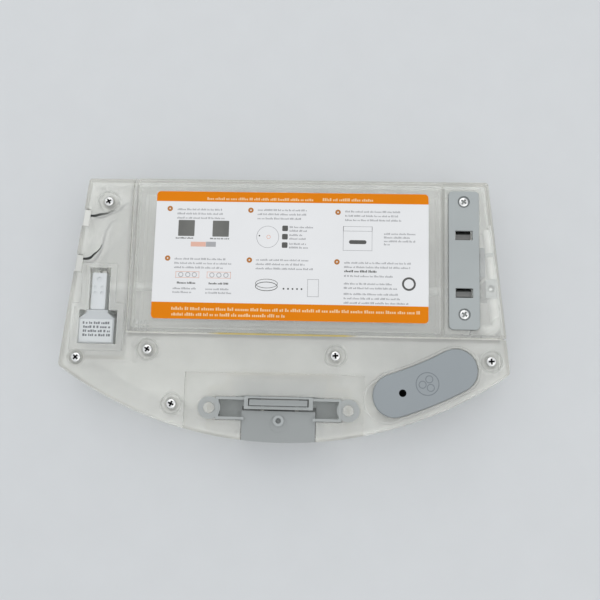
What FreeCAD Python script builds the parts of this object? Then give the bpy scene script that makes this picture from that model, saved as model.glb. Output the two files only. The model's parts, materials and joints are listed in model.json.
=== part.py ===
import FreeCAD, Part
import math
import os

V = FreeCAD.Vector

# Outline seen from above: straight back edge, flared sides, an arc that completes the cleaner
ARC_RADIUS = 175.0
DEPTH = 119.6
BACK_WIDTH = 184.6
SIDE_FLARE = 5.8
FRONT_CORNER_R = 2.5
BACK_CORNER_R = 1.5

# Heights and walls
PARTING_Z = 15.0
FRONT_TOP = 22.4
REAR_RISE = 0.8
PEDESTAL_RISE = 0.8
WALL = 1.9
FLOOR = 2.0
SKIN = 1.8
RIM_R = 1.2
BOTTOM_R = 2.0
LIP_H = 1.2
LIP_T = 0.8
FIT_GAP = 0.15
PART_GAP = 0.3
CLOTH_BED = 0.5
CLOTH_MARGIN = 9.0

# Seam between the two covers, with the gasket in it and the walls below it
LEFT_BAY_W = 21.7
RIGHT_BAY_W = 19.7
SEAM_TO_CORNER = 15.56
SEAM_GAP = 0.8
FLANGE = 1.6
WEB = 1.8
GASKET_DEPTH = 1.1
GASKET_PROUD = 0.2
GASKET_PROUD_HALF = 30.0
ARCH_W = 16.0
ARCH_H = 9.0
ARCH_PITCH = 24.0
ARCH_COUNT = 5

# Label seat on the rear cover: distances from the left seam, right wall, front seam and back edge
PEDESTAL_MARGINS = (3.4, 0.9, 3.0, 1.2)
SEAT_MARGINS = (7.5, 4.4, 5.0, 3.0)
LABEL_MARGINS = (11.0, 7.5, 6.1, 6.3)
LABEL_SEAT_D = 0.5
LABEL_T = 0.2
LABEL_R = 1.8
STEP_BEVEL = 0.4

# Grey contact plate, its windows and the leaf contacts below
PLATE_FROM_WALL = 8.3
PLATE_W = 13.7
PLATE_BACK_MARGIN = 4.7
PLATE_FRONT_MARGIN = 3.7
PLATE_T = 1.6
PLATE_R = 2.0
PLATE_SEAT_D = 0.8
WINDOW_W = 7.8
WINDOW_L = 4.4
REAR_WINDOW_IN = 20.6
FRONT_WINDOW_IN = 16.5
PLATE_SCREW_IN = 5.0
PLATE_SCREW_FRONT_IN = 6.8
PLATE_SINK = 1.0
PLATE_SCREW_L = 5.0
LEAF_W = 6.6
LEAF_T = 0.3
LEAF_L = 12.0
LEAF_BOW = 1.5
WELL_DEPTH = 2.6
WELL_SKIN = 1.2

# Pump opening in the front cover and the raised frame round it
WELL_FROM_SEAM = 13.5
WELL_TO_CORNER = 9.76
NARROW_W = 9.9
WIDE_W = 18.1
WIDE_L = 15.5
NARROW_L = 19.6
FRAME_MARGIN = 3.2
FRAME_BACK_MARGIN = 1.8
FRAME_RISE = 1.0
FRAME_LEDGE_W = 1.6
FRAME_LEDGE_D = 0.5
FRAME_R = 0.8
DRY_WALL_MARGIN = 5.0

# Pump
PUMP_SHIFT = -1.0
PUMP_BASE = 4.0
MOTOR_TOP = 20.6
MOTOR_W = 16.4
MOTOR_L = 11.6
SHOULDER_L = 2.6
NECK_W = 10.2
NECK_L = 4.0
HEAD_W = 6.9
HEAD_L = 17.3
HEAD_TOP = 20.0
TERMINAL_W = 1.6
TERMINAL_XS = (-1.9, 1.2)
TERMINAL_Z = 14.6
INLET_IN = 1.7
INLET_Z = 6.2
INLET_R = 1.5
STRAINER_R = 3.2
STRAINER_L = 5.0

# Screws that hold the front cover, each placed across and along from its nearest edge, corner or seam,
# and the two that hold the plate
REAR_SCREW = (11.6, 11.3)
LEFT_SCREW = (8.3, 3.6)
SEAM_SCREW = (10.0, 7.7)
RIM_SCREW = (47.8, 16.0)
MIDDLE_SCREW = (24.8, 9.0)
RIGHT_SCREW = (8.4, 5.5)
SCREW_HEAD_R = 2.25
SCREW_HEAD_H = 1.5
SCREW_SHANK_R = 1.25
SCREW_LENGTH = 10.0
SCREW_HOLE_R = 1.3
SPOT_R = 4.7
SPOT_D = 0.8
CORNER_SPOT_R = 3.4
BOSS_R = 3.2
COLLAR_T = 1.0
COLLAR_EXTRA = 0.6
CROSS_L = 3.0
CROSS_W = 0.8
CROSS_D = 0.8

# Fill plug: a curved slot shape that runs parallel to the rim, placed by distances along X
PLUG_INSET = 13.7
PLUG_HALF_W = 9.7
PLUG_START_X = 50.4
PLUG_END_X = 77.2
PLUG_HINGE_X = 71.47
PLUG_VENT_X = 53.85
PLUG_ICON_X = 64.7
PLUG_T = 2.1
PLUG_EDGE_R = 0.6
PLUG_SEAT_D = 1.6
SEAT_T = 1.6
VENT_R = 1.65
NECK_R = 6.8
NECK_WALL = 1.6
NECK_DEPTH = 3.4
STEM_R = 6.5
STEM_TIP_R = 5.3
STEM_DEPTH = 5.3
STEM_WALL = 1.7
ICON_R = 5.0
ICON_W = 0.4
ICON_D = 0.25
BEAD_W = 1.0
BEAD_H = 0.6
BEAD_R = 0.4
NOTCH_R = 9.6
NOTCH_X = 46.9
NOTCH_OUT = 1.0
ANCHOR_R = 2.4
ANCHOR_BARB_R = 3.4
ANCHOR_BARB_L = 4.0
FOLD_TOP = 0.1
FOLD_BOTTOM = 0.9

# Latch pocket and the grey bracket, measured from the rim
LATCH_X = -0.8
POCKET_LEFT = 42.2
POCKET_RIGHT = 37.8
POCKET_L = 30.4
POCKET_D = 2.0
EYELET_SPAN = 61.8
EYELET_IN = 14.7
EYELET_R = 5.0
EYELET_T = 1.6
POST_R = 2.4
POST_RISE = 0.6
ARM_W = 10.0
ARM_WALL = 1.2
ARM_RISE = 1.8
ARM_DEPTH = 6.0
ARM_FLOOR_T = 1.0
GUIDE_W = 30.5
GUIDE_BACK_T = 0.9
GUIDE_FRONT_T = 1.3
GUIDE_RISE = 2.2

# Lock bar, release button and their springs
BAR_W = 25.7
BAR_T = 2.6
BAR_IN = 16.1
BAR_RISE = 3.6
BAR_DEPTH = 7.6
BAR_BEVEL = 1.4
SLOT_GAP_X = 0.6
SLOT_GAP_FRONT = 0.3
SLOT_GAP_BACK = 0.5
TRAVEL = 2.0
FOOT_W = 13.4
FOOT_Z = 8.0
FOOT_L = 9.3
RAMP_Z = 17.4
RAMP_GAP = 0.3
BUTTON_W = 32.8
BUTTON_LOW = 4.6
BUTTON_DROP = 0.2
BUTTON_T = 1.6
BUTTON_L = 13.8
BUTTON_WALL = 2.2
NOSE_W = 12.6
NOSE_IN = 2.8
NOSE_LAND = 1.4
SLIDER_W = 40.0
SLIDER_Z = 11.6
SLIDER_T = 2.0
SLIDER_IN = 3.8
SLIDER_GAP = 0.7
RING_IN = 9.6
RING_R = 2.6
RING_HOLE_R = 1.2
NICHE_L = 29.3
NICHE_HALF = 22.0
ARM_BAY_HALF = 30.2
ARM_BAY_L = 22.8
SPRING_X = 14.5
SPRING_Z = 8.0
SPRING_R = 1.9
SPRING_WIRE = 0.5
SPRING_TURNS = 6
SPRING_IN = 8.0
PIN_R = 1.2
PIN_L = 3.0
LOCK_SPRING_IN = 14.4
RAIL_W = 2.4

# Side contacts and wires; their places along the bay are shares of its free length
CONTACT_SHARES = (0.579, 0.095)
CONTACT_L = 7.6
CONTACT_T = 0.6
CONTACT_LOW = 7.0
CONTACT_TOP = 21.0
CONTACT_TAIL_Z = 17.0
CONTACT_REACH = 3.4
WIRE_R = 0.55
WIRE_REAR = ((-20.0, 0.608, 18.4), (-15.8, 0.586, 18.0), (-12.6, 0.635, 17.2), (-7.6, 0.690, 16.2),
             (-5.6, 0.770, 15.2), (-3.6, 0.780, 14.0), (-3.0, 0.620, 12.8), (-3.4, 0.440, 12.2),
             (-8.3, 0.285, 12.8), (-12.2, 0.200, 13.8), (-13.3, 0.050, 14.6))
WIRE_FRONT = ((-22.2, 0.108, 18.4), (-18.4, 0.106, 18.2), (-15.4, 0.220, 17.4), (-14.6, 0.364, 16.4),
              (-13.8, 0.500, 15.4), (-10.4, 0.590, 14.6), (-6.4, 0.590, 13.6), (-5.0, 0.480, 13.4),
              (-8.6, 0.330, 14.6), (-14.8, 0.170, 15.2), (-16.4, 0.050, 14.6))

# Feed hose across the chamber, valve, vent tube and outlets
HOSE_IN = 4.6
HOSE_Z = 10.0
HOSE_R = 2.0
HOSE_BORE_R = 1.2
VALVE_W = 4.6
VALVE_L = 9.0
VALVE_LOW = 7.0
VALVE_TOP = 20.8
BALL_R = 1.6
BALL_DEPTH = 4.0
SIDE_POCKET_WALL = 0.9
SIDE_POCKET_IN = 8.0
SIDE_POCKET_END = 2.0
TUBE_R = 1.9
TUBE_WALL = 0.7
TUBE_Z = 18.9
TUBE_L = 22.7
COLLAR_AT = 10.3
COLLAR_L = 1.6
PIPE_R = 2.3
PIPE_WALL = 0.8
PIPE_Z = 18.3
PIPE_FROM_SEAM = 4.4
CLIP_L = 13.3
CLIP_W = 3.4
OUTLET_R = 2.6
OUTLET_FLANGE_R = 3.0
OUTLET_FLANGE_T = 1.4
OUTLET_BORE_R = 0.8
LEFT_OUTLET_IN = 5.5
RIGHT_OUTLET_IN = 16.9

# Worked out from the sizes above
HALF = DEPTH / 2
RIM_Y = -HALF
ARC_Y = ARC_RADIUS - HALF
FLARE = math.radians(SIDE_FLARE)
REAR_TOP = FRONT_TOP + REAR_RISE
PEDESTAL_TOP = REAR_TOP + PEDESTAL_RISE
LABEL_Z = PEDESTAL_TOP - LABEL_SEAT_D
PLATE_SEAT_Z = REAR_TOP - PLATE_SEAT_D
FRAME_TOP = FRONT_TOP + FRAME_RISE
POCKET_Z = FRONT_TOP - POCKET_D
SEAT_Z = FRONT_TOP - PLUG_SEAT_D
PAD_TOP = SEAT_Z + PLUG_T
SPOT_Z = FRONT_TOP - SPOT_D
BOSS_TOP = FRONT_TOP - SKIN - COLLAR_T
HIGH = PEDESTAL_TOP + 10.0
FAR = BACK_WIDTH


def side_x(y, inset=0.0):
    """X of the right side wall at this y, moved inwards by inset."""
    return BACK_WIDTH / 2 + (HALF - y) * math.tan(FLARE) - inset / math.cos(FLARE)


def corner_point(inset):
    """Where the right side line meets the front arc."""
    slope = math.tan(FLARE)
    x_at_centre = side_x(ARC_Y, inset)
    radius = ARC_RADIUS - inset
    a = 1 + slope ** 2
    b = 2 * slope * x_at_centre
    drop = (-b + math.sqrt(b ** 2 - 4 * a * (x_at_centre ** 2 - radius ** 2))) / (2 * a)
    return side_x(ARC_Y - drop, inset), ARC_Y - drop


def path_angle(x):
    """Angle round the arc's centre of a point on the plug's path."""
    return math.degrees(math.asin(x / PLUG_PATH_R))


CORNER_X, CORNER_Y = corner_point(0)
SEAM_X = LEFT_BAY_W - BACK_WIDTH / 2
SEAM_Y = CORNER_Y + SEAM_TO_CORNER
RIGHT_WEB_X = BACK_WIDTH / 2 - RIGHT_BAY_W


def rear_frame(margins):
    """Left, right, front and back limits on the rear cover for these margins."""
    left, right, front, back = margins
    return SEAM_X + left, RIGHT_WEB_X - right, SEAM_Y + front, HALF - back


PEDESTAL = rear_frame(PEDESTAL_MARGINS)
LABEL_SEAT = rear_frame(SEAT_MARGINS)
LABEL = rear_frame(LABEL_MARGINS)
PLATE_X = RIGHT_WEB_X + PLATE_FROM_WALL
PLATE_BACK = HALF - PLATE_BACK_MARGIN
PLATE_FRONT = SEAM_Y + PLATE_FRONT_MARGIN
WINDOW_YS = (PLATE_BACK - REAR_WINDOW_IN, PLATE_FRONT + FRONT_WINDOW_IN)
PLATE_SCREW_YS = (PLATE_BACK - PLATE_SCREW_IN, PLATE_FRONT + PLATE_SCREW_FRONT_IN)
WELL_X = SEAM_X - WELL_FROM_SEAM
WELL_FRONT = CORNER_Y + WELL_TO_CORNER
WELL_STEP = WELL_FRONT + WIDE_L
WELL_BACK = WELL_STEP + NARROW_L
DRY_WEB_Y = WELL_FRONT - DRY_WALL_MARGIN
PUMP_X = WELL_X + PUMP_SHIFT
MOTOR_FRONT = WELL_FRONT + PART_GAP
MOTOR_BACK = MOTOR_FRONT + MOTOR_L
NECK_BACK = MOTOR_BACK + NECK_L
HEAD_BACK = NECK_BACK + HEAD_L
INLET_Y = MOTOR_BACK - INLET_IN
LEFT_OUTLET_Y = MOTOR_FRONT + LEFT_OUTLET_IN
HOSE_Y = HEAD_BACK - HOSE_IN
BAY_L = HALF - HEAD_BACK
CONTACT_YS = [HEAD_BACK + share * BAY_L for share in CONTACT_SHARES]
PLUG_PATH_R = ARC_RADIUS - PLUG_INSET
PLUG_START = path_angle(PLUG_START_X)
PLUG_END = path_angle(PLUG_END_X)
PLUG_HINGE = path_angle(PLUG_HINGE_X)
EYELET_Y = RIM_Y + EYELET_IN
BAR_FRONT = RIM_Y + BAR_IN
BAR_BACK = BAR_FRONT + BAR_T
BAR_TOP = POCKET_Z + BAR_RISE
BAR_LOW = BAR_TOP - BAR_DEPTH
SLOT_FRONT = BAR_FRONT - SLOT_GAP_FRONT
SLOT_BACK = BAR_BACK + SLOT_GAP_BACK
SLOT_W = BAR_W + 2 * SLOT_GAP_X
GUIDE_FRONT = SLOT_FRONT - GUIDE_FRONT_T
GUIDE_BACK = SLOT_BACK + GUIDE_BACK_T
FOOT_FRONT = BAR_BACK - FOOT_L
BUTTON_TOP = POCKET_Z - BUTTON_DROP
BUTTON_BACK = RIM_Y + BUTTON_L
NICHE_BACK = RIM_Y + NICHE_L
SLIDER_FRONT = RIM_Y + SLIDER_IN
SLIDER_BACK = NICHE_BACK - TRAVEL - SLIDER_GAP
ARM_BAY_BACK = RIM_Y + ARM_BAY_L
ARM_FLOOR_Z = POCKET_Z - ARM_DEPTH
RING_Y = RIM_Y + RING_IN
SPRING_SEAT_Y = RIM_Y + SPRING_IN
LOCK_SPRING_Y = RIM_Y + LOCK_SPRING_IN
VALVE_FRONT = HOSE_Y - VALVE_L / 2
VALVE_BACK = HOSE_Y + VALVE_L / 2
PIPE_FRONT = SEAM_Y + PIPE_FROM_SEAM
RIGHT_OUTLET_X = RIGHT_WEB_X + RIGHT_OUTLET_IN
SCREWS = ((SEAM_X - REAR_SCREW[0], HALF - REAR_SCREW[1]), (LEFT_SCREW[0] - CORNER_X, CORNER_Y + LEFT_SCREW[1]),
          (SEAM_X + SEAM_SCREW[0], SEAM_Y - SEAM_SCREW[1]), (LATCH_X - RIM_SCREW[0], RIM_Y + RIM_SCREW[1]),
          (LATCH_X + MIDDLE_SCREW[0], SEAM_Y - MIDDLE_SCREW[1]), (CORNER_X - RIGHT_SCREW[0], CORNER_Y + RIGHT_SCREW[1]))


def box(x0, x1, y0, y1, z0, z1):
    return Part.makeBox(x1 - x0, y1 - y0, z1 - z0, V(x0, y0, z0))


def cylinder(x, y, z0, z1, radius):
    return Part.makeCylinder(radius, z1 - z0, V(x, y, z0))


def cone(x, y, z0, z1, r0, r1):
    return Part.makeCone(r0, r1, z1 - z0, V(x, y, z0))


def upright_edges(shape):
    return [e for e in shape.Edges if e.BoundBox.XLength < 1e-6 and e.BoundBox.YLength < 1e-6]


def level_edges(shape, z):
    return [e for e in shape.Edges if e.BoundBox.ZLength < 1e-6 and abs(e.BoundBox.ZMin - z) < 1e-6]


def round_box(x0, x1, y0, y1, z0, z1, radius):
    block = box(x0, x1, y0, y1, z0, z1)
    return block.makeFillet(radius, upright_edges(block))


def profile_x(points, x0, x1):
    """A prism along X from a section given as (y, z) points."""
    ring = [V(x0, y, z) for y, z in points]
    return Part.Face(Part.makePolygon(ring + ring[:1])).extrude(V(x1 - x0, 0, 0))


def footprint(inset, z0, z1):
    """The plan outline, pulled in by inset, as a block with rounded corners."""
    back_x = side_x(HALF - inset, inset)
    front_x, front_y = corner_point(inset)
    low = V(0, ARC_Y - ARC_RADIUS + inset, z0)
    back_right = V(back_x, HALF - inset, z0)
    back_left = V(-back_x, HALF - inset, z0)
    right = V(front_x, front_y, z0)
    left = V(-front_x, front_y, z0)
    edges = [Part.LineSegment(back_left, back_right).toShape(),
             Part.LineSegment(back_right, right).toShape(),
             Part.Arc(right, low, left).toShape(),
             Part.LineSegment(left, back_left).toShape()]
    block = Part.Face(Part.Wire(edges)).extrude(V(0, 0, z1 - z0))
    corners = upright_edges(block)
    front = [e for e in corners if e.BoundBox.YMin < 0]
    back = [e for e in corners if e.BoundBox.YMin > 0]
    block = block.makeFillet(max(FRONT_CORNER_R - inset, 0.4), front)
    back = [e for e in upright_edges(block) if e.BoundBox.YMin > HALF - inset - 0.01]
    return block.makeFillet(max(BACK_CORNER_R - inset, 0.4), back)


def rear_region(grow):
    """The part of the plan that the rear cover takes, grown or shrunk at the seam."""
    return box(SEAM_X - grow, FAR, SEAM_Y - grow, FAR, -1, HIGH)


def arc_point(angle, radius, z=0.0):
    turn = math.radians(angle)
    return V(radius * math.sin(turn), ARC_Y - radius * math.cos(turn), z)


def path_point(x):
    return arc_point(path_angle(x), PLUG_PATH_R)


def plug_block(grow, z0, z1, start=PLUG_START, end=PLUG_END):
    """The curved slot outline of the plug, grown all round."""
    half = PLUG_HALF_W + grow
    middle = (start + end) / 2
    cap_in = math.degrees(half / PLUG_PATH_R)
    outer = Part.Arc(arc_point(start, PLUG_PATH_R + half, z0), arc_point(middle, PLUG_PATH_R + half, z0),
                     arc_point(end, PLUG_PATH_R + half, z0)).toShape()
    right = Part.Arc(arc_point(end, PLUG_PATH_R + half, z0), arc_point(end + cap_in, PLUG_PATH_R, z0),
                     arc_point(end, PLUG_PATH_R - half, z0)).toShape()
    inner = Part.Arc(arc_point(end, PLUG_PATH_R - half, z0), arc_point(middle, PLUG_PATH_R - half, z0),
                     arc_point(start, PLUG_PATH_R - half, z0)).toShape()
    left = Part.Arc(arc_point(start, PLUG_PATH_R - half, z0), arc_point(start - cap_in, PLUG_PATH_R, z0),
                    arc_point(start, PLUG_PATH_R + half, z0)).toShape()
    return Part.Face(Part.Wire([outer, right, inner, left])).extrude(V(0, 0, z1 - z0))


def spring_coil(start, direction, length, radius, wire, turns):
    """A compression spring with its axis along direction."""
    pitch = (length - wire) / turns
    path = Part.makeHelix(pitch, length - wire, radius)
    section = Part.Wire(Part.makeCircle(wire / 2, V(radius, 0, 0), V(0, 1, 0)))
    coil = Part.Wire(path).makePipeShell([section], True, True)
    coil.translate(V(0, 0, wire / 2))
    coil.Placement = FreeCAD.Placement(start, FreeCAD.Rotation(V(0, 0, 1), direction)).multiply(coil.Placement)
    return coil


def cable(points, radius):
    """A round cable along straight runs joined by tangent arcs."""
    stops = [V(*p) for p in points]
    edges = []
    at = stops[0]
    for before, here, after in zip(stops, stops[1:], stops[2:]):
        run_in = here.sub(before)
        run_out = after.sub(here)
        reach = 0.45 * min(run_in.Length, run_out.Length)
        into = V(run_in).normalize()
        out = V(run_out).normalize()
        bend = into.getAngle(out)
        first = here.sub(V(into).multiply(reach))
        last = here.add(V(out).multiply(reach))
        bend_r = reach / math.tan(bend / 2)
        inside = V(out.sub(into)).normalize()
        middle = here.add(inside.multiply(bend_r * (1 / math.cos(bend / 2) - 1)))
        edges.append(Part.LineSegment(at, first).toShape())
        edges.append(Part.Arc(first, middle, last).toShape())
        at = last
    edges.append(Part.LineSegment(at, stops[-1]).toShape())
    start = V(stops[1].sub(stops[0])).normalize()
    section = Part.Wire(Part.makeCircle(radius, stops[0], start))
    return Part.Wire(edges).makePipeShell([section], True, False)


def make_wire(points):
    """A wire in the left bay, from points given from the seam and as shares of the bay's length."""
    return cable([(SEAM_X + x, HEAD_BACK + share * BAY_L, z) for x, share, z in points], WIRE_R)


def on_left_side(shape, y):
    """Put a shape built at the origin, outwards towards -X, on the left wall at this y."""
    moved = shape.copy()
    moved.rotate(V(0, 0, 0), V(0, 0, 1), -SIDE_FLARE)
    moved.translate(V(-side_x(y), y, 0))
    return moved


def contact_recess(y):
    """Room in the wall for one side contact, open at the outer face."""
    half = CONTACT_L / 2 + PART_GAP
    return on_left_side(box(-1, CONTACT_T + FIT_GAP, -half, half, CONTACT_LOW - PART_GAP, HIGH), y)


def contact_notch(y):
    """Notch in the front cover above one side contact."""
    half = CONTACT_L / 2 + PART_GAP
    return on_left_side(box(-1, CONTACT_REACH + PART_GAP, -half, half, PARTING_Z - 1, HIGH), y)


def spot_radius(index):
    return CORNER_SPOT_R if index == 1 else SPOT_R


def niche(grow):
    """Plan of the space round the latch, as two boxes that open towards the rim."""
    rear = box(LATCH_X - NICHE_HALF - grow, LATCH_X + NICHE_HALF + grow, -FAR, NICHE_BACK + grow, -1, HIGH)
    arms = box(LATCH_X - ARM_BAY_HALF - grow, LATCH_X + ARM_BAY_HALF + grow, -FAR, ARM_BAY_BACK + grow,
               -1, HIGH)
    return rear.fuse(arms)


def button_opening():
    """Opening in the rim for the button, and in the pocket floor for the bracket."""
    half = BUTTON_W / 2 + PART_GAP
    top = GUIDE_BACK + PART_GAP
    mouth = box(LATCH_X - half, LATCH_X + half, -FAR, top, BUTTON_LOW - PART_GAP, HIGH)
    arm = ARM_W / 2 + PART_GAP
    arm_half = EYELET_SPAN / 2 - EYELET_R / 2 - PART_GAP
    arms = box(LATCH_X - arm_half, LATCH_X + arm_half, EYELET_Y - arm, EYELET_Y + arm, PARTING_Z, HIGH)
    return mouth.fuse(arms)


def side_pocket():
    """Thinned stretch of the right wall beside the tubes."""
    block = footprint(SIDE_POCKET_WALL, FLOOR, REAR_TOP - SKIN)
    stretch = box(RIGHT_WEB_X + SIDE_POCKET_IN, FAR, SEAM_Y + FLANGE, VALVE_BACK + TUBE_L + SIDE_POCKET_END, FLOOR,
                  REAR_TOP - SKIN)
    return block.common(stretch)


def lip_ring(inset_out, inset_in, height):
    outer = footprint(inset_out, PARTING_Z - 0.001, PARTING_Z + height)
    return outer.cut(footprint(inset_in, PARTING_Z - 1, PARTING_Z + height + 1))


def make_lower_shell():
    shell = footprint(0, 0, PARTING_Z)
    shell = shell.makeFillet(BOTTOM_R, level_edges(shell, 0))
    inside = footprint(WALL, FLOOR, PARTING_Z + 1)
    shell = shell.cut(inside)
    walls = [box(SEAM_X - WEB / 2, SEAM_X + WEB / 2, DRY_WEB_Y, FAR, 1, PARTING_Z),
             box(-FAR, SEAM_X + WEB / 2, DRY_WEB_Y - WEB, DRY_WEB_Y, 1, PARTING_Z),
             box(RIGHT_WEB_X - WEB, RIGHT_WEB_X, SEAM_Y, FAR, 1, PARTING_Z),
             box(SEAM_X, FAR, SEAM_Y - WEB / 2, SEAM_Y + WEB / 2, 1, PARTING_Z)]
    first_arch = -(ARCH_COUNT - 1) / 2 * ARCH_PITCH
    for index in range(ARCH_COUNT):
        x = first_arch + index * ARCH_PITCH
        arch = box(x - ARCH_W / 2, x + ARCH_W / 2, SEAM_Y - WEB, SEAM_Y + WEB, FLOOR, FLOOR + ARCH_H)
        walls[3] = walls[3].cut(arch)
    tall = niche(WEB).cut(niche(0)).common(box(-FAR, FAR, -FAR, FAR, 1, POCKET_Z - SEAT_T))
    for x, y in SCREWS:
        tall = tall.fuse(cylinder(x, y, 1, BOSS_TOP, BOSS_R))
    walls.append(tall.common(box(-FAR, FAR, -FAR, FAR, 0, PARTING_Z)))
    walls.append(tall.common(footprint(WALL + PART_GAP, PARTING_Z - 1, HIGH)))
    for side in (-1, 1):
        x = LATCH_X + side * (SLIDER_W / 2 - RAIL_W / 2)
        walls.append(box(x - RAIL_W / 2, x + RAIL_W / 2, SLIDER_FRONT, SLIDER_BACK, 1, SLIDER_Z - PART_GAP))
    for y in (MOTOR_FRONT + 1.0, HEAD_BACK - 3.0):
        walls.append(box(PUMP_X - HEAD_W / 2, PUMP_X + HEAD_W / 2, y - 0.8, y + 0.8, 1, PUMP_BASE))
    limit = footprint(WALL / 2, 0.5, HIGH)
    for wall in walls:
        shell = shell.fuse(wall.common(limit))
    shell = shell.fuse(lip_ring(WALL - LIP_T, WALL, LIP_H))
    for y in CONTACT_YS:
        half = CONTACT_L / 2
        tab = box(CONTACT_T + FIT_GAP, CONTACT_REACH - CONTACT_T - FIT_GAP, -half, half, CONTACT_LOW,
                  CONTACT_TOP - CONTACT_T)
        shell = shell.fuse(on_left_side(tab, y)).cut(contact_recess(y))
    shell = shell.cut(side_pocket())
    shell = shell.cut(button_opening())
    for x, y in SCREWS:
        shell = shell.cut(cylinder(x, y, BOSS_TOP - SCREW_LENGTH, HIGH, SCREW_HOLE_R))
    for x in (SEAM_X, RIGHT_WEB_X - WEB / 2):
        bore = Part.makeCylinder(HOSE_R + FIT_GAP / 2, 3 * WEB, V(x - 1.5 * WEB, HOSE_Y, HOSE_Z), V(1, 0, 0))
        shell = shell.cut(bore)
    start = V(SEAM_X - WEB, INLET_Y, INLET_Z)
    shell = shell.cut(Part.makeCylinder(INLET_R + FIT_GAP / 2, 2 * WEB, start, V(1, 0, 0)))
    for x, y in ((PUMP_X, LEFT_OUTLET_Y), (RIGHT_OUTLET_X, PIPE_FRONT)):
        shell = shell.cut(cylinder(x, y, -1, FLOOR + 1, OUTLET_R + FIT_GAP / 2))
    bed = footprint(CLOTH_MARGIN, -1, CLOTH_BED)
    return shell.cut(bed)


def pocket_block(grow, z0, z1):
    """The latch pocket, open at the rim."""
    return box(LATCH_X - POCKET_LEFT - grow, LATCH_X + POCKET_RIGHT + grow, -FAR, RIM_Y + POCKET_L + grow, z0, z1)


def make_front_cover():
    block = footprint(0, PARTING_Z, FRONT_TOP)
    block = block.makeFillet(RIM_R, level_edges(block, FRONT_TOP))
    gap = SEAM_GAP / 2
    cover = block.cut(rear_region(gap))
    hollow = footprint(WALL, PARTING_Z - 1, FRONT_TOP - SKIN).cut(rear_region(gap + FLANGE))
    cover = cover.cut(hollow)
    inner = footprint(WALL / 2, PARTING_Z, HIGH)
    added = [box(-FAR, SEAM_X - gap, DRY_WEB_Y - WEB, DRY_WEB_Y, PARTING_Z, FRONT_TOP - SKIN / 2),
             box(SEAM_X - gap - FLANGE, SEAM_X - gap, DRY_WEB_Y - WEB, SEAM_Y, PARTING_Z, FRONT_TOP - SKIN / 2)]
    tray = pocket_block(SEAT_T, POCKET_Z - SEAT_T, FRONT_TOP - SKIN / 2)
    added.append(tray)
    added.append(plug_block(SEAT_T, SEAT_Z - SEAT_T, FRONT_TOP - SKIN / 2))
    finger = arc_point(path_angle(NOTCH_X), PLUG_PATH_R + NOTCH_OUT)
    notch = cylinder(finger.x, finger.y, SEAT_Z, HIGH, NOTCH_R)
    added.append(cylinder(finger.x, finger.y, SEAT_Z - SEAT_T, FRONT_TOP - SKIN / 2, NOTCH_R + SEAT_T))
    stem = path_point(PLUG_VENT_X)
    added.append(cylinder(stem.x, stem.y, SEAT_Z - NECK_DEPTH, SEAT_Z, NECK_R + NECK_WALL))
    for index, (x, y) in enumerate(SCREWS):
        added.append(cylinder(x, y, BOSS_TOP, SPOT_Z, spot_radius(index) + COLLAR_EXTRA))
    for piece in added:
        cover = cover.fuse(piece.common(inner))
    cover = cover.fuse(well_frame())
    cover = cover.cut(pocket_block(0, POCKET_Z, HIGH))
    cover = cover.fuse(plug_border(finger))
    cover = cover.cut(plug_block(PART_GAP, SEAT_Z, HIGH))
    cover = cover.cut(notch)
    cover = cover.cut(cylinder(stem.x, stem.y, 0, HIGH, NECK_R))
    anchor = arc_point(PLUG_END, PLUG_PATH_R)
    cover = cover.cut(cylinder(anchor.x, anchor.y, 0, HIGH, ANCHOR_R + FIT_GAP / 2))
    cover = cover.cut(well_opening(0, PARTING_Z - 1, HIGH))
    cover = cover.cut(well_opening(FRAME_LEDGE_W, FRAME_TOP - FRAME_LEDGE_D, HIGH))
    for index, (x, y) in enumerate(SCREWS):
        cover = cover.cut(cylinder(x, y, 0, BOSS_TOP, BOSS_R + PART_GAP))
        cover = cover.cut(cylinder(x, y, SPOT_Z, HIGH, spot_radius(index)))
        cover = cover.cut(cylinder(x, y, 0, HIGH, SCREW_HOLE_R + FIT_GAP))
    for side in (-1, 1):
        x = LATCH_X + side * EYELET_SPAN / 2
        post = cylinder(x, EYELET_Y, POCKET_Z - 0.5, POCKET_Z + EYELET_T + POST_RISE, POST_R)
        dimple = cylinder(x, EYELET_Y, POCKET_Z + EYELET_T, HIGH, POST_R / 2)
        cover = cover.fuse(post).cut(dimple)
    cover = cover.cut(button_opening())
    for y in CONTACT_YS:
        cover = cover.cut(contact_notch(y))
    cover = cover.cut(lip_ring(WALL - LIP_T - FIT_GAP, WALL + FIT_GAP, LIP_H + FIT_GAP))
    return largest(cover)


def plug_border(finger):
    """Rounded bead round the plug and its finger notch, still a solid block inside."""
    low, high = POCKET_Z - SEAT_T / 2, FRONT_TOP + BEAD_H
    border = plug_block(PART_GAP + BEAD_W, low, high)
    border = border.fuse(cylinder(finger.x, finger.y, low, high, NOTCH_R + BEAD_W)).removeSplitter()
    return border.makeFillet(BEAD_R, level_edges(border, high))


def largest(shape):
    return max(shape.Solids, key=lambda solid: solid.Volume)


def well_opening(grow, z0, z1):
    """The stepped opening over the pump."""
    narrow = box(WELL_X - NARROW_W / 2 - grow, WELL_X + NARROW_W / 2 + grow, WELL_STEP - 1,
                 WELL_BACK + min(grow, FRAME_BACK_MARGIN / 2), z0, z1)
    wide = box(WELL_X - WIDE_W / 2 - grow, WELL_X + WIDE_W / 2 + grow, WELL_FRONT - grow, WELL_STEP + grow, z0, z1)
    return narrow.fuse(wide).removeSplitter()


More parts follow.
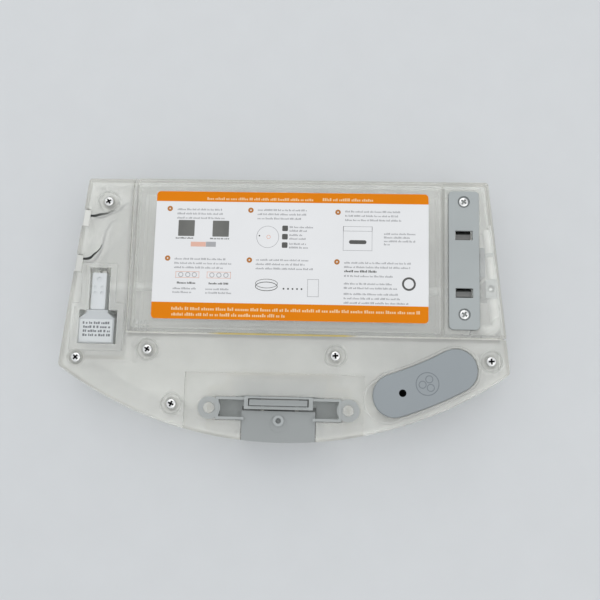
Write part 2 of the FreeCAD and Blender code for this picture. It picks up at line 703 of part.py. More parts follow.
def well_frame():
    """The raised frame round the pump opening."""
    narrow = box(WELL_X - NARROW_W / 2 - FRAME_MARGIN, WELL_X + NARROW_W / 2 + FRAME_MARGIN, WELL_STEP - 1,
                 WELL_BACK + FRAME_BACK_MARGIN, FRONT_TOP - SKIN, FRAME_TOP)
    wide = box(WELL_X - WIDE_W / 2 - FRAME_MARGIN, WELL_X + WIDE_W / 2 + FRAME_MARGIN,
               WELL_FRONT - FRAME_MARGIN, WELL_STEP + FRAME_MARGIN, FRONT_TOP - SKIN, FRAME_TOP)
    frame = narrow.fuse(wide).removeSplitter()
    frame = frame.makeFillet(FRAME_R, upright_edges(frame))
    return frame.makeChamfer(STEP_BEVEL, level_edges(frame, FRAME_TOP))


def pipe_x(y):
    return side_x(y, SIDE_POCKET_WALL + PART_GAP + PIPE_R)


def make_rear_cover():
    block = footprint(0, PARTING_Z, REAR_TOP)
    block = block.makeFillet(RIM_R, level_edges(block, REAR_TOP))
    gap = -SEAM_GAP / 2
    cover = block.common(rear_region(gap))
    hollow = footprint(WALL, PARTING_Z - 1, REAR_TOP - SKIN).common(rear_region(gap - FLANGE))
    cover = cover.cut(hollow)
    inner = footprint(WALL / 2, PARTING_Z, HIGH)
    web = box(RIGHT_WEB_X - WEB, RIGHT_WEB_X, SEAM_Y - gap, FAR, PARTING_Z, REAR_TOP - SKIN / 2)
    cover = cover.fuse(web.common(inner))
    pedestal = round_box(*PEDESTAL, REAR_TOP - 0.5, PEDESTAL_TOP, 1.2)
    pedestal = pedestal.makeChamfer(STEP_BEVEL, level_edges(pedestal, PEDESTAL_TOP))
    cover = cover.fuse(pedestal)
    cover = cover.cut(round_box(*LABEL_SEAT, LABEL_Z, HIGH, 1.0))
    half = PLATE_W / 2 + PART_GAP
    cover = cover.cut(round_box(PLATE_X - half, PLATE_X + half, PLATE_FRONT - PART_GAP, PLATE_BACK + PART_GAP,
                                PLATE_SEAT_Z, HIGH, PLATE_R + PART_GAP))
    for y in WINDOW_YS:
        x_half = LEAF_W / 2 + PART_GAP
        y_half = LEAF_L / 2 + PART_GAP
        tub = box(PLATE_X - x_half - WELL_SKIN, PLATE_X + x_half + WELL_SKIN, y - y_half - WELL_SKIN,
                  y + y_half + WELL_SKIN, PLATE_SEAT_Z - WELL_DEPTH - WELL_SKIN, REAR_TOP - SKIN / 2)
        cover = cover.fuse(tub.cut(box(-FAR, FAR, -FAR, FAR, PLATE_SEAT_Z, HIGH)))
        cover = cover.cut(box(PLATE_X - x_half, PLATE_X + x_half, y - y_half, y + y_half, PLATE_SEAT_Z - WELL_DEPTH, HIGH))
    for y in PLATE_SCREW_YS:
        cover = cover.fuse(cylinder(PLATE_X, y, PLATE_SEAT_Z - PLATE_SCREW_L - 1, PLATE_SEAT_Z, BOSS_R))
        cover = cover.cut(cylinder(PLATE_X, y, PLATE_SEAT_Z - PLATE_SCREW_L, HIGH, SCREW_HOLE_R))
    for x in (SEAM_X + 1.2, LABEL_SEAT[1] - 0.6):
        cover = cover.cut(box(x, x + 1.2, HALF - 0.8, HALF + 1, REAR_TOP - 2.5, HIGH))
    cover = cover.cut(side_pocket())
    cover = cover.cut(lip_ring(WALL - LIP_T - FIT_GAP, WALL + FIT_GAP, LIP_H + FIT_GAP))
    return largest(cover)


def make_cover_gasket():
    """Soft strip that fills the seam, a little higher along its middle."""
    half = SEAM_GAP / 2 - 0.05
    top = FRONT_TOP - GASKET_DEPTH
    strip = box(SEAM_X - half, FAR, SEAM_Y - half, SEAM_Y + half, PARTING_Z, top)
    strip = strip.fuse(box(SEAM_X - half, SEAM_X + half, SEAM_Y - half, FAR, PARTING_Z, top))
    bulge = box(-GASKET_PROUD_HALF, GASKET_PROUD_HALF, SEAM_Y - half, SEAM_Y + half, PARTING_Z,
                FRONT_TOP - GASKET_PROUD)
    return strip.fuse(bulge).common(footprint(WALL + FIT_GAP, 0, HIGH)).removeSplitter()


def make_label():
    return round_box(*LABEL, LABEL_Z, LABEL_Z + LABEL_T, LABEL_R)


def make_contact_plate():
    top = PLATE_SEAT_Z + PLATE_T
    plate = round_box(PLATE_X - PLATE_W / 2, PLATE_X + PLATE_W / 2, PLATE_FRONT, PLATE_BACK, PLATE_SEAT_Z, top, PLATE_R)
    plate = plate.makeFillet(0.4, level_edges(plate, top))
    for y in WINDOW_YS:
        plate = plate.cut(box(PLATE_X - WINDOW_W / 2, PLATE_X + WINDOW_W / 2, y - WINDOW_L / 2, y + WINDOW_L / 2,
                              0, HIGH))
    for y in PLATE_SCREW_YS:
        plate = plate.cut(cylinder(PLATE_X, y, top - PLATE_SINK, HIGH, SCREW_HEAD_R + 0.5))
        plate = plate.cut(cylinder(PLATE_X, y, 0, HIGH, SCREW_HOLE_R + FIT_GAP))
    return plate


def make_leaf(y):
    """A spring strip with a bow under the window and flat ends."""
    floor = PLATE_SEAT_Z - WELL_DEPTH
    half = LEAF_L / 2
    bow = half * 0.62
    rise = LEAF_BOW

    def line(shift):
        z = floor + shift
        flat = [Part.LineSegment(V(0, y - half, z), V(0, y - bow, z)).toShape(),
                Part.Arc(V(0, y - bow, z), V(0, y, z + rise), V(0, y + bow, z)).toShape(),
                Part.LineSegment(V(0, y + bow, z), V(0, y + half, z)).toShape()]
        return flat

    low = line(0)
    high = line(LEAF_T)
    ends = [Part.LineSegment(V(0, y - half, floor), V(0, y - half, floor + LEAF_T)).toShape(),
            Part.LineSegment(V(0, y + half, floor), V(0, y + half, floor + LEAF_T)).toShape()]
    ring = Part.Wire(Part.__sortEdges__(low + high + ends))
    leaf = Part.Face(ring).extrude(V(LEAF_W, 0, 0))
    leaf.translate(V(PLATE_X - LEAF_W / 2, 0, 0))
    return leaf


def make_screw(x, y, seat, head_h, length, turn):
    """A pan-head screw with a cross recess."""
    top = seat + head_h
    head = cylinder(x, y, seat, top, SCREW_HEAD_R)
    head = head.makeFillet(head_h * 0.5, level_edges(head, top))
    screw = head.fuse(cylinder(x, y, seat - length, seat, SCREW_SHANK_R))
    cross = box(-CROSS_L / 2, CROSS_L / 2, -CROSS_W / 2, CROSS_W / 2, top - CROSS_D, top + 1)
    cross = cross.fuse(box(-CROSS_W / 2, CROSS_W / 2, -CROSS_L / 2, CROSS_L / 2, top - CROSS_D, top + 1))
    cross.rotate(V(0, 0, 0), V(0, 0, 1), turn)
    cross.translate(V(x, y, 0))
    return screw.cut(cross)


def make_cover_screws():
    turns = (20, 55, 35, 40, 10, 45)
    return Part.makeCompound([make_screw(x, y, SPOT_Z, SCREW_HEAD_H, SCREW_LENGTH - 1, turn)
                              for (x, y), turn in zip(SCREWS, turns)])


def make_plate_screws():
    seat = PLATE_SEAT_Z + PLATE_T - PLATE_SINK
    return Part.makeCompound([make_screw(PLATE_X, y, seat, PLATE_SINK, PLATE_SCREW_L, turn)
                              for y, turn in zip(PLATE_SCREW_YS, (30, 60))])


def plug_fold():
    """The wedge of free space below the fold of the plug."""
    hinge = arc_point(PLUG_HINGE, PLUG_PATH_R)
    wide = FOLD_BOTTOM
    points = [V(-FOLD_TOP, 0, 1), V(FOLD_TOP, 0, 1), V(FOLD_TOP, 0, 0), V(wide, 0, -PLUG_T), V(-wide, 0, -PLUG_T),
              V(-FOLD_TOP, 0, 0)]
    wedge = Part.Face(Part.makePolygon(points + points[:1])).extrude(V(0, 3 * PLUG_HALF_W, 0))
    wedge.translate(V(0, -1.5 * PLUG_HALF_W, 0))
    wedge.rotate(V(0, 0, 0), V(0, 0, 1), PLUG_HINGE)
    wedge.translate(V(hinge.x, hinge.y, PAD_TOP))
    return wedge


def plug_pad():
    pad = plug_block(0, SEAT_Z, PAD_TOP)
    return pad.makeFillet(PLUG_EDGE_R, level_edges(pad, PAD_TOP))


def make_fill_plug():
    """The flap that lifts, with its hollow stem and vent hole."""
    pad = plug_pad().cut(plug_fold())
    hinge = arc_point(PLUG_HINGE, PLUG_PATH_R)
    flap = min(pad.Solids, key=lambda solid: solid.CenterOfMass.x)
    at = path_point(PLUG_VENT_X)
    flap = flap.fuse(cone(at.x, at.y, SEAT_Z - STEM_DEPTH, SEAT_Z, STEM_TIP_R, STEM_R))
    flap = flap.cut(cone(at.x, at.y, SEAT_Z - STEM_DEPTH - 0.1, SEAT_Z, STEM_TIP_R - STEM_WALL,
                         STEM_R - STEM_WALL))
    flap = flap.cut(cylinder(at.x, at.y, 0, HIGH, VENT_R))
    icon = path_point(PLUG_ICON_X)
    ring = cylinder(icon.x, icon.y, PAD_TOP - ICON_D, HIGH, ICON_R + ICON_W / 2)
    ring = ring.cut(cylinder(icon.x, icon.y, 0, HIGH, ICON_R - ICON_W / 2))
    return flap.cut(ring)


def make_plug_anchor():
    """The end of the plug that stays, pinned through the cover by a barbed stem."""
    pad = plug_pad().cut(plug_fold())
    anchor = max(pad.Solids, key=lambda solid: solid.CenterOfMass.x)
    at = arc_point(PLUG_END, PLUG_PATH_R)
    low = SEAT_Z - SEAT_T
    anchor = anchor.fuse(cylinder(at.x, at.y, low - 1, SEAT_Z, ANCHOR_R))
    return anchor.fuse(cone(at.x, at.y, low - ANCHOR_BARB_L, low - FIT_GAP, ANCHOR_R / 2, ANCHOR_BARB_R))


def make_latch_bracket():
    """Eyelets, channel arms and the raised guide for the lock bar."""
    top = POCKET_Z + ARM_RISE
    eyelets = []
    body = None
    for side in (-1, 1):
        x = LATCH_X + side * EYELET_SPAN / 2
        eyelet = cylinder(x, EYELET_Y, POCKET_Z, POCKET_Z + EYELET_T, EYELET_R)
        inner_x = LATCH_X + side * GUIDE_W / 2
        end_x = x - side * (EYELET_R - 2.0)
        low, high = sorted((inner_x, end_x))
        trough = box(low, high, EYELET_Y - ARM_W / 2, EYELET_Y + ARM_W / 2, ARM_FLOOR_Z, top)
        low, high = sorted((inner_x - side * 1.0, end_x - side * ARM_WALL))
        channel = box(low, high, EYELET_Y - ARM_W / 2 + ARM_WALL, EYELET_Y + ARM_W / 2 - ARM_WALL,
                      ARM_FLOOR_Z + ARM_FLOOR_T, HIGH)
        arm = trough.cut(channel).fuse(eyelet)
        arm = arm.cut(cylinder(x, EYELET_Y, 0, HIGH, POST_R + FIT_GAP / 2))
        eyelets.append(arm)
    guide_top = POCKET_Z + GUIDE_RISE
    side_low = ARM_FLOOR_Z
    half = GUIDE_W / 2
    guide = box(LATCH_X - half, LATCH_X + half, GUIDE_FRONT, GUIDE_BACK, side_low, guide_top)
    under_plate = box(LATCH_X - half + 1.0, LATCH_X + half - 1.0, -FAR, SLOT_FRONT, 0, BUTTON_TOP + 0.4)
    guide = guide.cut(under_plate)
    slot_half = SLOT_W / 2
    guide = guide.cut(box(LATCH_X - slot_half, LATCH_X + slot_half, SLOT_FRONT, SLOT_BACK, 0, HIGH))
    guide = guide.cut(box(LATCH_X - slot_half, LATCH_X + slot_half, -FAR, SLOT_BACK, 0, BUTTON_TOP + 0.4))
    body = guide
    for arm in eyelets:
        body = body.fuse(arm)
    plate_way = box(LATCH_X - BUTTON_W / 2 - PART_GAP, LATCH_X + BUTTON_W / 2 + PART_GAP, -FAR, SLOT_FRONT, 0,
                    BUTTON_TOP + 0.4)
    body = body.cut(plate_way)
    body = body.removeSplitter()
    return largest(body)


def make_lock_bar():
    """The bar that stands in the slot, with a ramp foot at its middle."""
    section = [(BAR_BACK, FOOT_Z), (FOOT_FRONT, FOOT_Z), (FOOT_FRONT, FOOT_FRONT + (RAMP_Z - BAR_FRONT)),
               (BAR_FRONT, RAMP_Z), (BAR_FRONT, BAR_LOW + 2), (BAR_BACK, BAR_LOW + 2)]
    foot = profile_x(section, LATCH_X - FOOT_W / 2, LATCH_X + FOOT_W / 2)
    bar_section = [(BAR_BACK, BAR_LOW), (BAR_FRONT, BAR_LOW), (BAR_FRONT, BAR_TOP), (BAR_FRONT + 0.9, BAR_TOP),
                   (BAR_BACK, BAR_TOP - BAR_BEVEL)]
    bar = profile_x(bar_section, LATCH_X - BAR_W / 2, LATCH_X + BAR_W / 2)
    bar = bar.fuse(foot)
    seat = cylinder(LATCH_X, LOCK_SPRING_Y, FOOT_Z - 1, FOOT_Z + 1.0, SPRING_R + 0.6)
    return bar.cut(seat).removeSplitter()


def make_release_button():
    """Thumb wall on the rim, top plate, wedge nose and the slider frame behind."""
    half = BUTTON_W / 2
    rim = footprint(0, BUTTON_LOW, BUTTON_TOP)
    wall = rim.cut(footprint(BUTTON_WALL, 0, HIGH)).common(box(LATCH_X - half, LATCH_X + half, -FAR, BUTTON_BACK, 0, HIGH))
    plate = rim.common(box(LATCH_X - half, LATCH_X + half, -FAR, BUTTON_BACK, BUTTON_TOP - BUTTON_T, BUTTON_TOP))
    body = wall.fuse(plate)
    ring = cylinder(LATCH_X, RING_Y, BUTTON_TOP - BUTTON_T, BUTTON_TOP + 0.25, RING_R)
    body = body.fuse(ring).cut(cylinder(LATCH_X, RING_Y, BUTTON_TOP - 1.2, HIGH, RING_HOLE_R))
    step = cylinder(LATCH_X, RING_Y - 1.4, BUTTON_TOP - 0.15, HIGH, RING_R + 1.3)
    body = body.cut(step.cut(cylinder(LATCH_X, RING_Y, 0, HIGH, RING_R)))
    slider_half = SLIDER_W / 2
    slider = box(LATCH_X - slider_half, LATCH_X + slider_half, SLIDER_FRONT, SLIDER_BACK, SLIDER_Z,
                 SLIDER_Z + SLIDER_T)
    way = FOOT_W / 2 + TRAVEL
    slider = slider.cut(box(LATCH_X - way, LATCH_X + way, FOOT_FRONT - TRAVEL - PART_GAP, BAR_BACK + TRAVEL, 0, HIGH))
    inner_half = half - 1.0
    neck = box(LATCH_X - inner_half, LATCH_X + inner_half, -FAR, SPRING_SEAT_Y - 2, SLIDER_Z, SLIDER_Z + SLIDER_T)
    ramp_shift = RAMP_Z - BAR_FRONT + RAMP_GAP * math.sqrt(2)
    tip_y = BAR_FRONT - TRAVEL - PART_GAP
    nose_y = RIM_Y + NOSE_IN
    nose_top = tip_y + ramp_shift + NOSE_LAND
    nose = profile_x([(nose_y, SLIDER_Z), (SLIDER_Z - ramp_shift, SLIDER_Z), (tip_y, tip_y + ramp_shift),
                      (tip_y, nose_top), (nose_y, nose_top)],
                     LATCH_X - NOSE_W / 2, LATCH_X + NOSE_W / 2)
    inside = footprint(0.5, 0, HIGH)
    body = body.fuse(slider).fuse(neck.common(inside)).fuse(nose.common(inside))
    for side in (-1, 1):
        x = LATCH_X + side * SPRING_X
        web = box(x - SPRING_R, x + SPRING_R, SPRING_SEAT_Y - 1.6, SPRING_SEAT_Y, SPRING_Z - SPRING_R - 1, SLIDER_Z + 1)
        pin = Part.makeCylinder(PIN_R, PIN_L, V(x, SPRING_SEAT_Y, SPRING_Z), V(0, 1, 0))
        body = body.fuse(web).fuse(pin)
    return largest(body.removeSplitter())


def make_button_springs():
    coils = []
    for side in (-1, 1):
        start = V(LATCH_X + side * SPRING_X, SPRING_SEAT_Y, SPRING_Z)
        coils.append(spring_coil(start, V(0, 1, 0), NICHE_BACK - SPRING_SEAT_Y, SPRING_R, SPRING_WIRE, SPRING_TURNS))
    return Part.makeCompound(coils)


def make_lock_spring():
    start = V(LATCH_X, LOCK_SPRING_Y, FLOOR)
    return spring_coil(start, V(0, 0, 1), FOOT_Z + 1.0 - FLOOR, SPRING_R, SPRING_WIRE, SPRING_TURNS - 1)


def make_side_contact(y):
    """A strip folded over a tab of the wall, with its tail inside."""
    half = CONTACT_L / 2
    t = CONTACT_T
    outer = box(0, t, -half, half, CONTACT_LOW, CONTACT_TOP)
    top = box(0, CONTACT_REACH, -half, half, CONTACT_TOP - t, CONTACT_TOP)
    tail = box(CONTACT_REACH - t, CONTACT_REACH, -half, half, CONTACT_TAIL_Z, CONTACT_TOP)
    clip = outer.fuse(top).fuse(tail).removeSplitter()
    edge = [e for e in level_edges(clip, CONTACT_TOP) if e.BoundBox.YLength > half]
    clip = clip.makeFillet(t * 0.8, edge)
    return on_left_side(clip, y)


def make_pump_motor():
    """Square motor can with sloping shoulders up to its neck."""
    half = MOTOR_W / 2
    neck = NECK_W / 2
    points = [V(-half, MOTOR_FRONT, 0), V(half, MOTOR_FRONT, 0), V(half, MOTOR_BACK, 0),
              V(neck, MOTOR_BACK + SHOULDER_L, 0), V(neck, NECK_BACK, 0), V(-neck, NECK_BACK, 0),
              V(-neck, MOTOR_BACK + SHOULDER_L, 0), V(-half, MOTOR_BACK, 0)]
    motor = Part.Face(Part.makePolygon(points + points[:1])).extrude(V(0, 0, MOTOR_TOP - PUMP_BASE))
    motor.translate(V(PUMP_X, 0, PUMP_BASE))
    return motor.makeFillet(0.6, level_edges(motor, MOTOR_TOP))


def make_pump_head():
    """Slim white pump head, with shallow dimples on top and a nipple for the hose."""
    half = HEAD_W / 2
    head = round_box(PUMP_X - half, PUMP_X + half, NECK_BACK, HEAD_BACK, PUMP_BASE, HEAD_TOP, 0.8)
    head = head.makeFillet(0.5, level_edges(head, HEAD_TOP))
    head = head.cut(cylinder(PUMP_X, HEAD_BACK - 3.2, HEAD_TOP - 0.6, HIGH, 1.2))
    for row in range(2):
        for side in (-1, 1):
            head = head.cut(cylinder(PUMP_X + side * 1.6, HEAD_BACK - 7.0 - 2.6 * row, HEAD_TOP - 0.4, HIGH, 0.8))
    nipple = Part.makeCylinder(HOSE_BORE_R - 0.05, 4.0, V(PUMP_X + half - 0.5, HOSE_Y, HOSE_Z), V(1, 0, 0))
    return head.fuse(nipple)


def make_pump_label():
    half = MOTOR_W / 2 - 0.7
    return box(PUMP_X - half, PUMP_X + half, MOTOR_FRONT + 0.7, MOTOR_BACK - 0.5, MOTOR_TOP, MOTOR_TOP + 0.15)


def make_pump_terminals():
    tabs = []
    for x in TERMINAL_XS:
        low = PUMP_X + x - TERMINAL_W / 2
        tabs.append(box(low, low + TERMINAL_W, HEAD_BACK, HEAD_BACK + TERMINAL_W, TERMINAL_Z - 1.2, TERMINAL_Z + 1.2))
    return Part.makeCompound(tabs)


def make_inlet_strainer():
    """Slotted cup in the chamber, on a spigot through the dry wall to the pump."""
    start = PUMP_X + MOTOR_W / 2
    x0 = SEAM_X + WEB / 2
    cup = Part.makeCylinder(STRAINER_R, STRAINER_L, V(x0, INLET_Y, INLET_Z), V(1, 0, 0))
    for index in range(3):
        x = x0 + 1.0 + index * 1.3
        cup = cup.cut(box(x, x + 0.6, -FAR, FAR, INLET_Z - STRAINER_R / 2, HIGH))
    return cup.fuse(Part.makeCylinder(INLET_R, x0 - start, V(start, INLET_Y, INLET_Z), V(1, 0, 0)))


def make_feed_hose():
    start = PUMP_X + HEAD_W / 2
    end = valve_x() - VALVE_W / 2
    hose = Part.makeCylinder(HOSE_R, end - start, V(start, HOSE_Y, HOSE_Z), V(1, 0, 0))
    return hose.cut(Part.makeCylinder(HOSE_BORE_R, end - start, V(start, HOSE_Y, HOSE_Z), V(1, 0, 0)))


def valve_x():
    return side_x(VALVE_BACK, SIDE_POCKET_WALL + PART_GAP + VALVE_W / 2)


def make_valve_block():
    x = valve_x()
    block = round_box(x - VALVE_W / 2, x + VALVE_W / 2, VALVE_FRONT, VALVE_BACK, VALVE_LOW, VALVE_TOP, 0.7)
    block = block.cut(cylinder(x, HOSE_Y, VALVE_TOP - BALL_DEPTH, HIGH, BALL_R + FIT_GAP))
    foot = cylinder(x, HOSE_Y, FLOOR, VALVE_LOW, VALVE_W / 2 - 0.3)
    return block.fuse(foot)


def make_valve_ball():
    return Part.makeSphere(BALL_R, V(valve_x(), HOSE_Y, VALVE_TOP - BALL_DEPTH + BALL_R))


def tube_points():
    """Ends of the vent tube's axis, parallel to the right wall."""
    inset = SIDE_POCKET_WALL + FIT_GAP + TUBE_R
    back_y = VALVE_BACK + TUBE_L
    return V(side_x(VALVE_BACK, inset), VALVE_BACK, TUBE_Z), V(side_x(back_y, inset), back_y, TUBE_Z)


def make_vent_tube():
    front, back = tube_points()
    run = back.sub(front)
    tube = Part.makeCylinder(TUBE_R, run.Length, front, run)
    tube = tube.cut(Part.makeCylinder(TUBE_R - TUBE_WALL, run.Length, front, run))
    return tube.common(box(-FAR, FAR, front.y, FAR, 0, HIGH))


def make_vent_collar():
    front, back = tube_points()
    run = V(back.sub(front)).normalize()
    at = front.add(V(run).multiply(COLLAR_AT))
    ring = Part.makeCylinder(TUBE_R + 0.55, COLLAR_L, at, run)
    ring = ring.cut(Part.makeCylinder(TUBE_R + 0.02, COLLAR_L, at, run))
    return ring.common(footprint(SIDE_POCKET_WALL + 0.05, 0, REAR_TOP - SKIN - 0.05))


def make_tube_clip():
    """Post from the floor with a cradle for the vent tube."""
    front, back = tube_points()
    x = back.x - TUBE_R + FIT_GAP
    post = box(x - CLIP_W, x + 1.0, VALVE_BACK + 1.0, VALVE_BACK + 1.0 + CLIP_L, FLOOR, TUBE_Z + 1.6)
    run = back.sub(front)
    longer = V(front).sub(V(run).normalize().multiply(5))
    return post.cut(Part.makeCylinder(TUBE_R + 0.6, run.Length + 10, longer, run))


def make_outlet_pipe():
    """Clear pipe from the valve along the wall, then inwards and down to the outlet."""
    stops = [(pipe_x(VALVE_FRONT), VALVE_FRONT, PIPE_Z), (pipe_x(PIPE_FRONT), PIPE_FRONT, PIPE_Z),
             (RIGHT_OUTLET_X, PIPE_FRONT, PIPE_Z), (RIGHT_OUTLET_X, PIPE_FRONT, FLOOR + OUTLET_FLANGE_T)]
    pipe = cable(stops, PIPE_R).cut(cable(stops, PIPE_R - PIPE_WALL))
    return pipe.common(box(-FAR, FAR, -FAR, VALVE_FRONT, 0, HIGH))


def make_outlet(x, y, top):
    """Rubber outlet in the floor, with a flange inside and a fine hole."""
    nozzle = cylinder(x, y, CLOTH_BED, FLOOR, OUTLET_R)
    nozzle = nozzle.fuse(cylinder(x, y, FLOOR, FLOOR + OUTLET_FLANGE_T, OUTLET_FLANGE_R))
    if top > FLOOR + OUTLET_FLANGE_T:
        nozzle = nozzle.fuse(cylinder(x, y, FLOOR, top, OUTLET_R - 0.4))
    return nozzle.cut(cylinder(x, y, 0, top - 0.6, OUTLET_BORE_R))


def build():
    pieces = {
        "lower_shell": make_lower_shell(),
        "front_cover": make_front_cover(),
        "rear_cover": make_rear_cover(),
        "cover_gasket": make_cover_gasket(),
        "label_sheet": make_label(),
        "contact_plate": make_contact_plate(),
        "plate_screws": make_plate_screws(),
        "cover_screws": make_cover_screws(),
        "leaf_contact_rear": make_leaf(WINDOW_YS[0]),
        "leaf_contact_front": make_leaf(WINDOW_YS[1]),
        "fill_plug": make_fill_plug(),
        "plug_anchor": make_plug_anchor(),
        "latch_bracket": make_latch_bracket(),
        "lock_bar": make_lock_bar(),
        "release_button": make_release_button(),
        "button_springs": make_button_springs(),
        "lock_spring": make_lock_spring(),
        "side_contact_rear": make_side_contact(CONTACT_YS[0]),
        "side_contact_front": make_side_contact(CONTACT_YS[1]),
        "pump_motor": make_pump_motor(),
        "pump_head": make_pump_head(),
        "pump_label": make_pump_label(),
        "pump_terminals": make_pump_terminals(),
        "wire_rear": make_wire(WIRE_REAR),
        "wire_front": make_wire(WIRE_FRONT),
        "inlet_strainer": make_inlet_strainer(),
        "feed_hose": make_feed_hose(),
        "valve_block": make_valve_block(),
        "valve_ball": make_valve_ball(),
        "vent_tube": make_vent_tube(),
        "vent_collar": make_vent_collar(),
        "tube_clip": make_tube_clip(),
        "outlet_pipe": make_outlet_pipe(),
        "outlet_left": make_outlet(PUMP_X, LEFT_OUTLET_Y, PUMP_BASE),
        "outlet_right": make_outlet(RIGHT_OUTLET_X, PIPE_FRONT, FLOOR + OUTLET_FLANGE_T),
    }
    os.makedirs("parts", exist_ok=True)
    for name, shape in pieces.items():
        shape.exportStep("parts/" + name + ".step")
        print(name, len(shape.Solids), shape.isValid(), round(shape.Volume, 1))


build()
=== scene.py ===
import json
import logging
import math
import random
from dataclasses import dataclass
from enum import Enum
from typing import Callable, Iterable, Sequence

import bmesh
import bpy
from mathutils import Matrix, Vector


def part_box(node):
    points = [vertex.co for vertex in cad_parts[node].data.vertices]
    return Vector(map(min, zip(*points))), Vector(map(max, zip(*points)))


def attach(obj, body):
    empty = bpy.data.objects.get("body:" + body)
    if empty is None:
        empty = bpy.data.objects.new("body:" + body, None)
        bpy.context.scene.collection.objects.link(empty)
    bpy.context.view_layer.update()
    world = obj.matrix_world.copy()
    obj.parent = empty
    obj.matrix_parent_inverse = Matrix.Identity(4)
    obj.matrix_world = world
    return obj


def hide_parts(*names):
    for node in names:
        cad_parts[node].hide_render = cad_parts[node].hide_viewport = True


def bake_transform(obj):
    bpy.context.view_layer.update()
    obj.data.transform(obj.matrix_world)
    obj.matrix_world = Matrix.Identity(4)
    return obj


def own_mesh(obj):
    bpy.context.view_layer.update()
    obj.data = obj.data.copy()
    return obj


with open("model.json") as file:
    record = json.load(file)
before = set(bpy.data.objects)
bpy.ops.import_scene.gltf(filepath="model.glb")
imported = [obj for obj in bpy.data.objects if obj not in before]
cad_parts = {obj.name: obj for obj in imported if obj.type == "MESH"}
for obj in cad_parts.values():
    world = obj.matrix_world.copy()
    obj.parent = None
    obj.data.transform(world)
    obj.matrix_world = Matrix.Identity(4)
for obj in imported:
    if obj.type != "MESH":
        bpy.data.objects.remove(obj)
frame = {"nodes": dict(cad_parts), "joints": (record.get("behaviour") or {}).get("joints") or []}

LOG = logging.getLogger("water_tank")
MM = 0.001
UP = Vector((0.0, 0.0, 1.0))
Colour = tuple[float, float, float]
Place = tuple[float, float, float]
Path = tuple[tuple[float, float], ...]


class Body(Enum):
    """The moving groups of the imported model."""

    TANK = "tank"
    FLAP = "plug_flap"
    BUTTON = "button"


# Finishes: colours, roughness and what shows through the milky plastic.

def new_group(
    name: str, inputs: Sequence[tuple[str, str, object]], outputs: Sequence[tuple[str, str]]
) -> tuple[bpy.types.ShaderNodeTree, bpy.types.Node, bpy.types.Node]:
    """Makes a shader node group with typed sockets.

    Args:
        name: Name of the group.
        inputs: Name, socket type and default value of each input.
        outputs: Name and socket type of each output.

    Returns:
        The tree, its input node and its output node.
    """
    tree = bpy.data.node_groups.new(name, "ShaderNodeTree")
    for label, kind, value in inputs:
        socket = tree.interface.new_socket(label, in_out="INPUT", socket_type=kind)
        socket.default_value = value
    for label, kind in outputs:
        tree.interface.new_socket(label, in_out="OUTPUT", socket_type=kind)
    return tree, tree.nodes.new("NodeGroupInput"), tree.nodes.new("NodeGroupOutput")


def grain_group() -> bpy.types.ShaderNodeTree:
    """Fine moulding grain: a colour that wanders a little, uneven gloss and a shallow bump."""
    tree, source, sink = new_group(
        "moulding_grain",
        [("Colour", "NodeSocketColor", (0.5, 0.5, 0.5, 1.0)), ("Roughness", "NodeSocketFloat", 0.5),
         ("Grain", "NodeSocketFloat", 2500.0), ("Depth", "NodeSocketFloat", 0.1),
         ("Mottle", "NodeSocketFloat", 0.06)],
        [("Colour", "NodeSocketColor"), ("Roughness", "NodeSocketFloat"), ("Normal", "NodeSocketVector")])
    nodes, links = tree.nodes, tree.links
    place = nodes.new("ShaderNodeTexCoord")
    fine = nodes.new("ShaderNodeTexNoise")
    fine.inputs["Detail"].default_value = 2.0
    links.new(place.outputs["Object"], fine.inputs["Vector"])
    links.new(source.outputs["Grain"], fine.inputs["Scale"])
    broad = nodes.new("ShaderNodeTexNoise")
    broad.inputs["Scale"].default_value = 55.0
    broad.inputs["Detail"].default_value = 3.0
    links.new(place.outputs["Object"], broad.inputs["Vector"])
    shade = nodes.new("ShaderNodeMapRange")
    shade.inputs["From Min"].default_value = 0.25
    shade.inputs["From Max"].default_value = 0.75
    links.new(broad.outputs["Fac"], shade.inputs["Value"])
    low = nodes.new("ShaderNodeMath")
    low.operation = "SUBTRACT"
    low.inputs[0].default_value = 1.0
    links.new(source.outputs["Mottle"], low.inputs[1])
    high = nodes.new("ShaderNodeMath")
    high.operation = "ADD"
    high.inputs[0].default_value = 1.0
    links.new(source.outputs["Mottle"], high.inputs[1])
    links.new(low.outputs[0], shade.inputs["To Min"])
    links.new(high.outputs[0], shade.inputs["To Max"])
    tint = nodes.new("ShaderNodeVectorMath")
    tint.operation = "SCALE"
    links.new(source.outputs["Colour"], tint.inputs[0])
    links.new(shade.outputs[0], tint.inputs["Scale"])
    gloss = nodes.new("ShaderNodeMath")
    gloss.operation = "MULTIPLY"
    links.new(source.outputs["Roughness"], gloss.inputs[0])
    links.new(shade.outputs[0], gloss.inputs[1])
    bump = nodes.new("ShaderNodeBump")
    bump.inputs["Distance"].default_value = 0.00004
    links.new(source.outputs["Depth"], bump.inputs["Strength"])
    links.new(fine.outputs["Fac"], bump.inputs["Height"])
    links.new(tint.outputs[0], sink.inputs["Colour"])
    links.new(gloss.outputs[0], sink.inputs["Roughness"])
    links.new(bump.outputs["Normal"], sink.inputs["Normal"])
    return tree


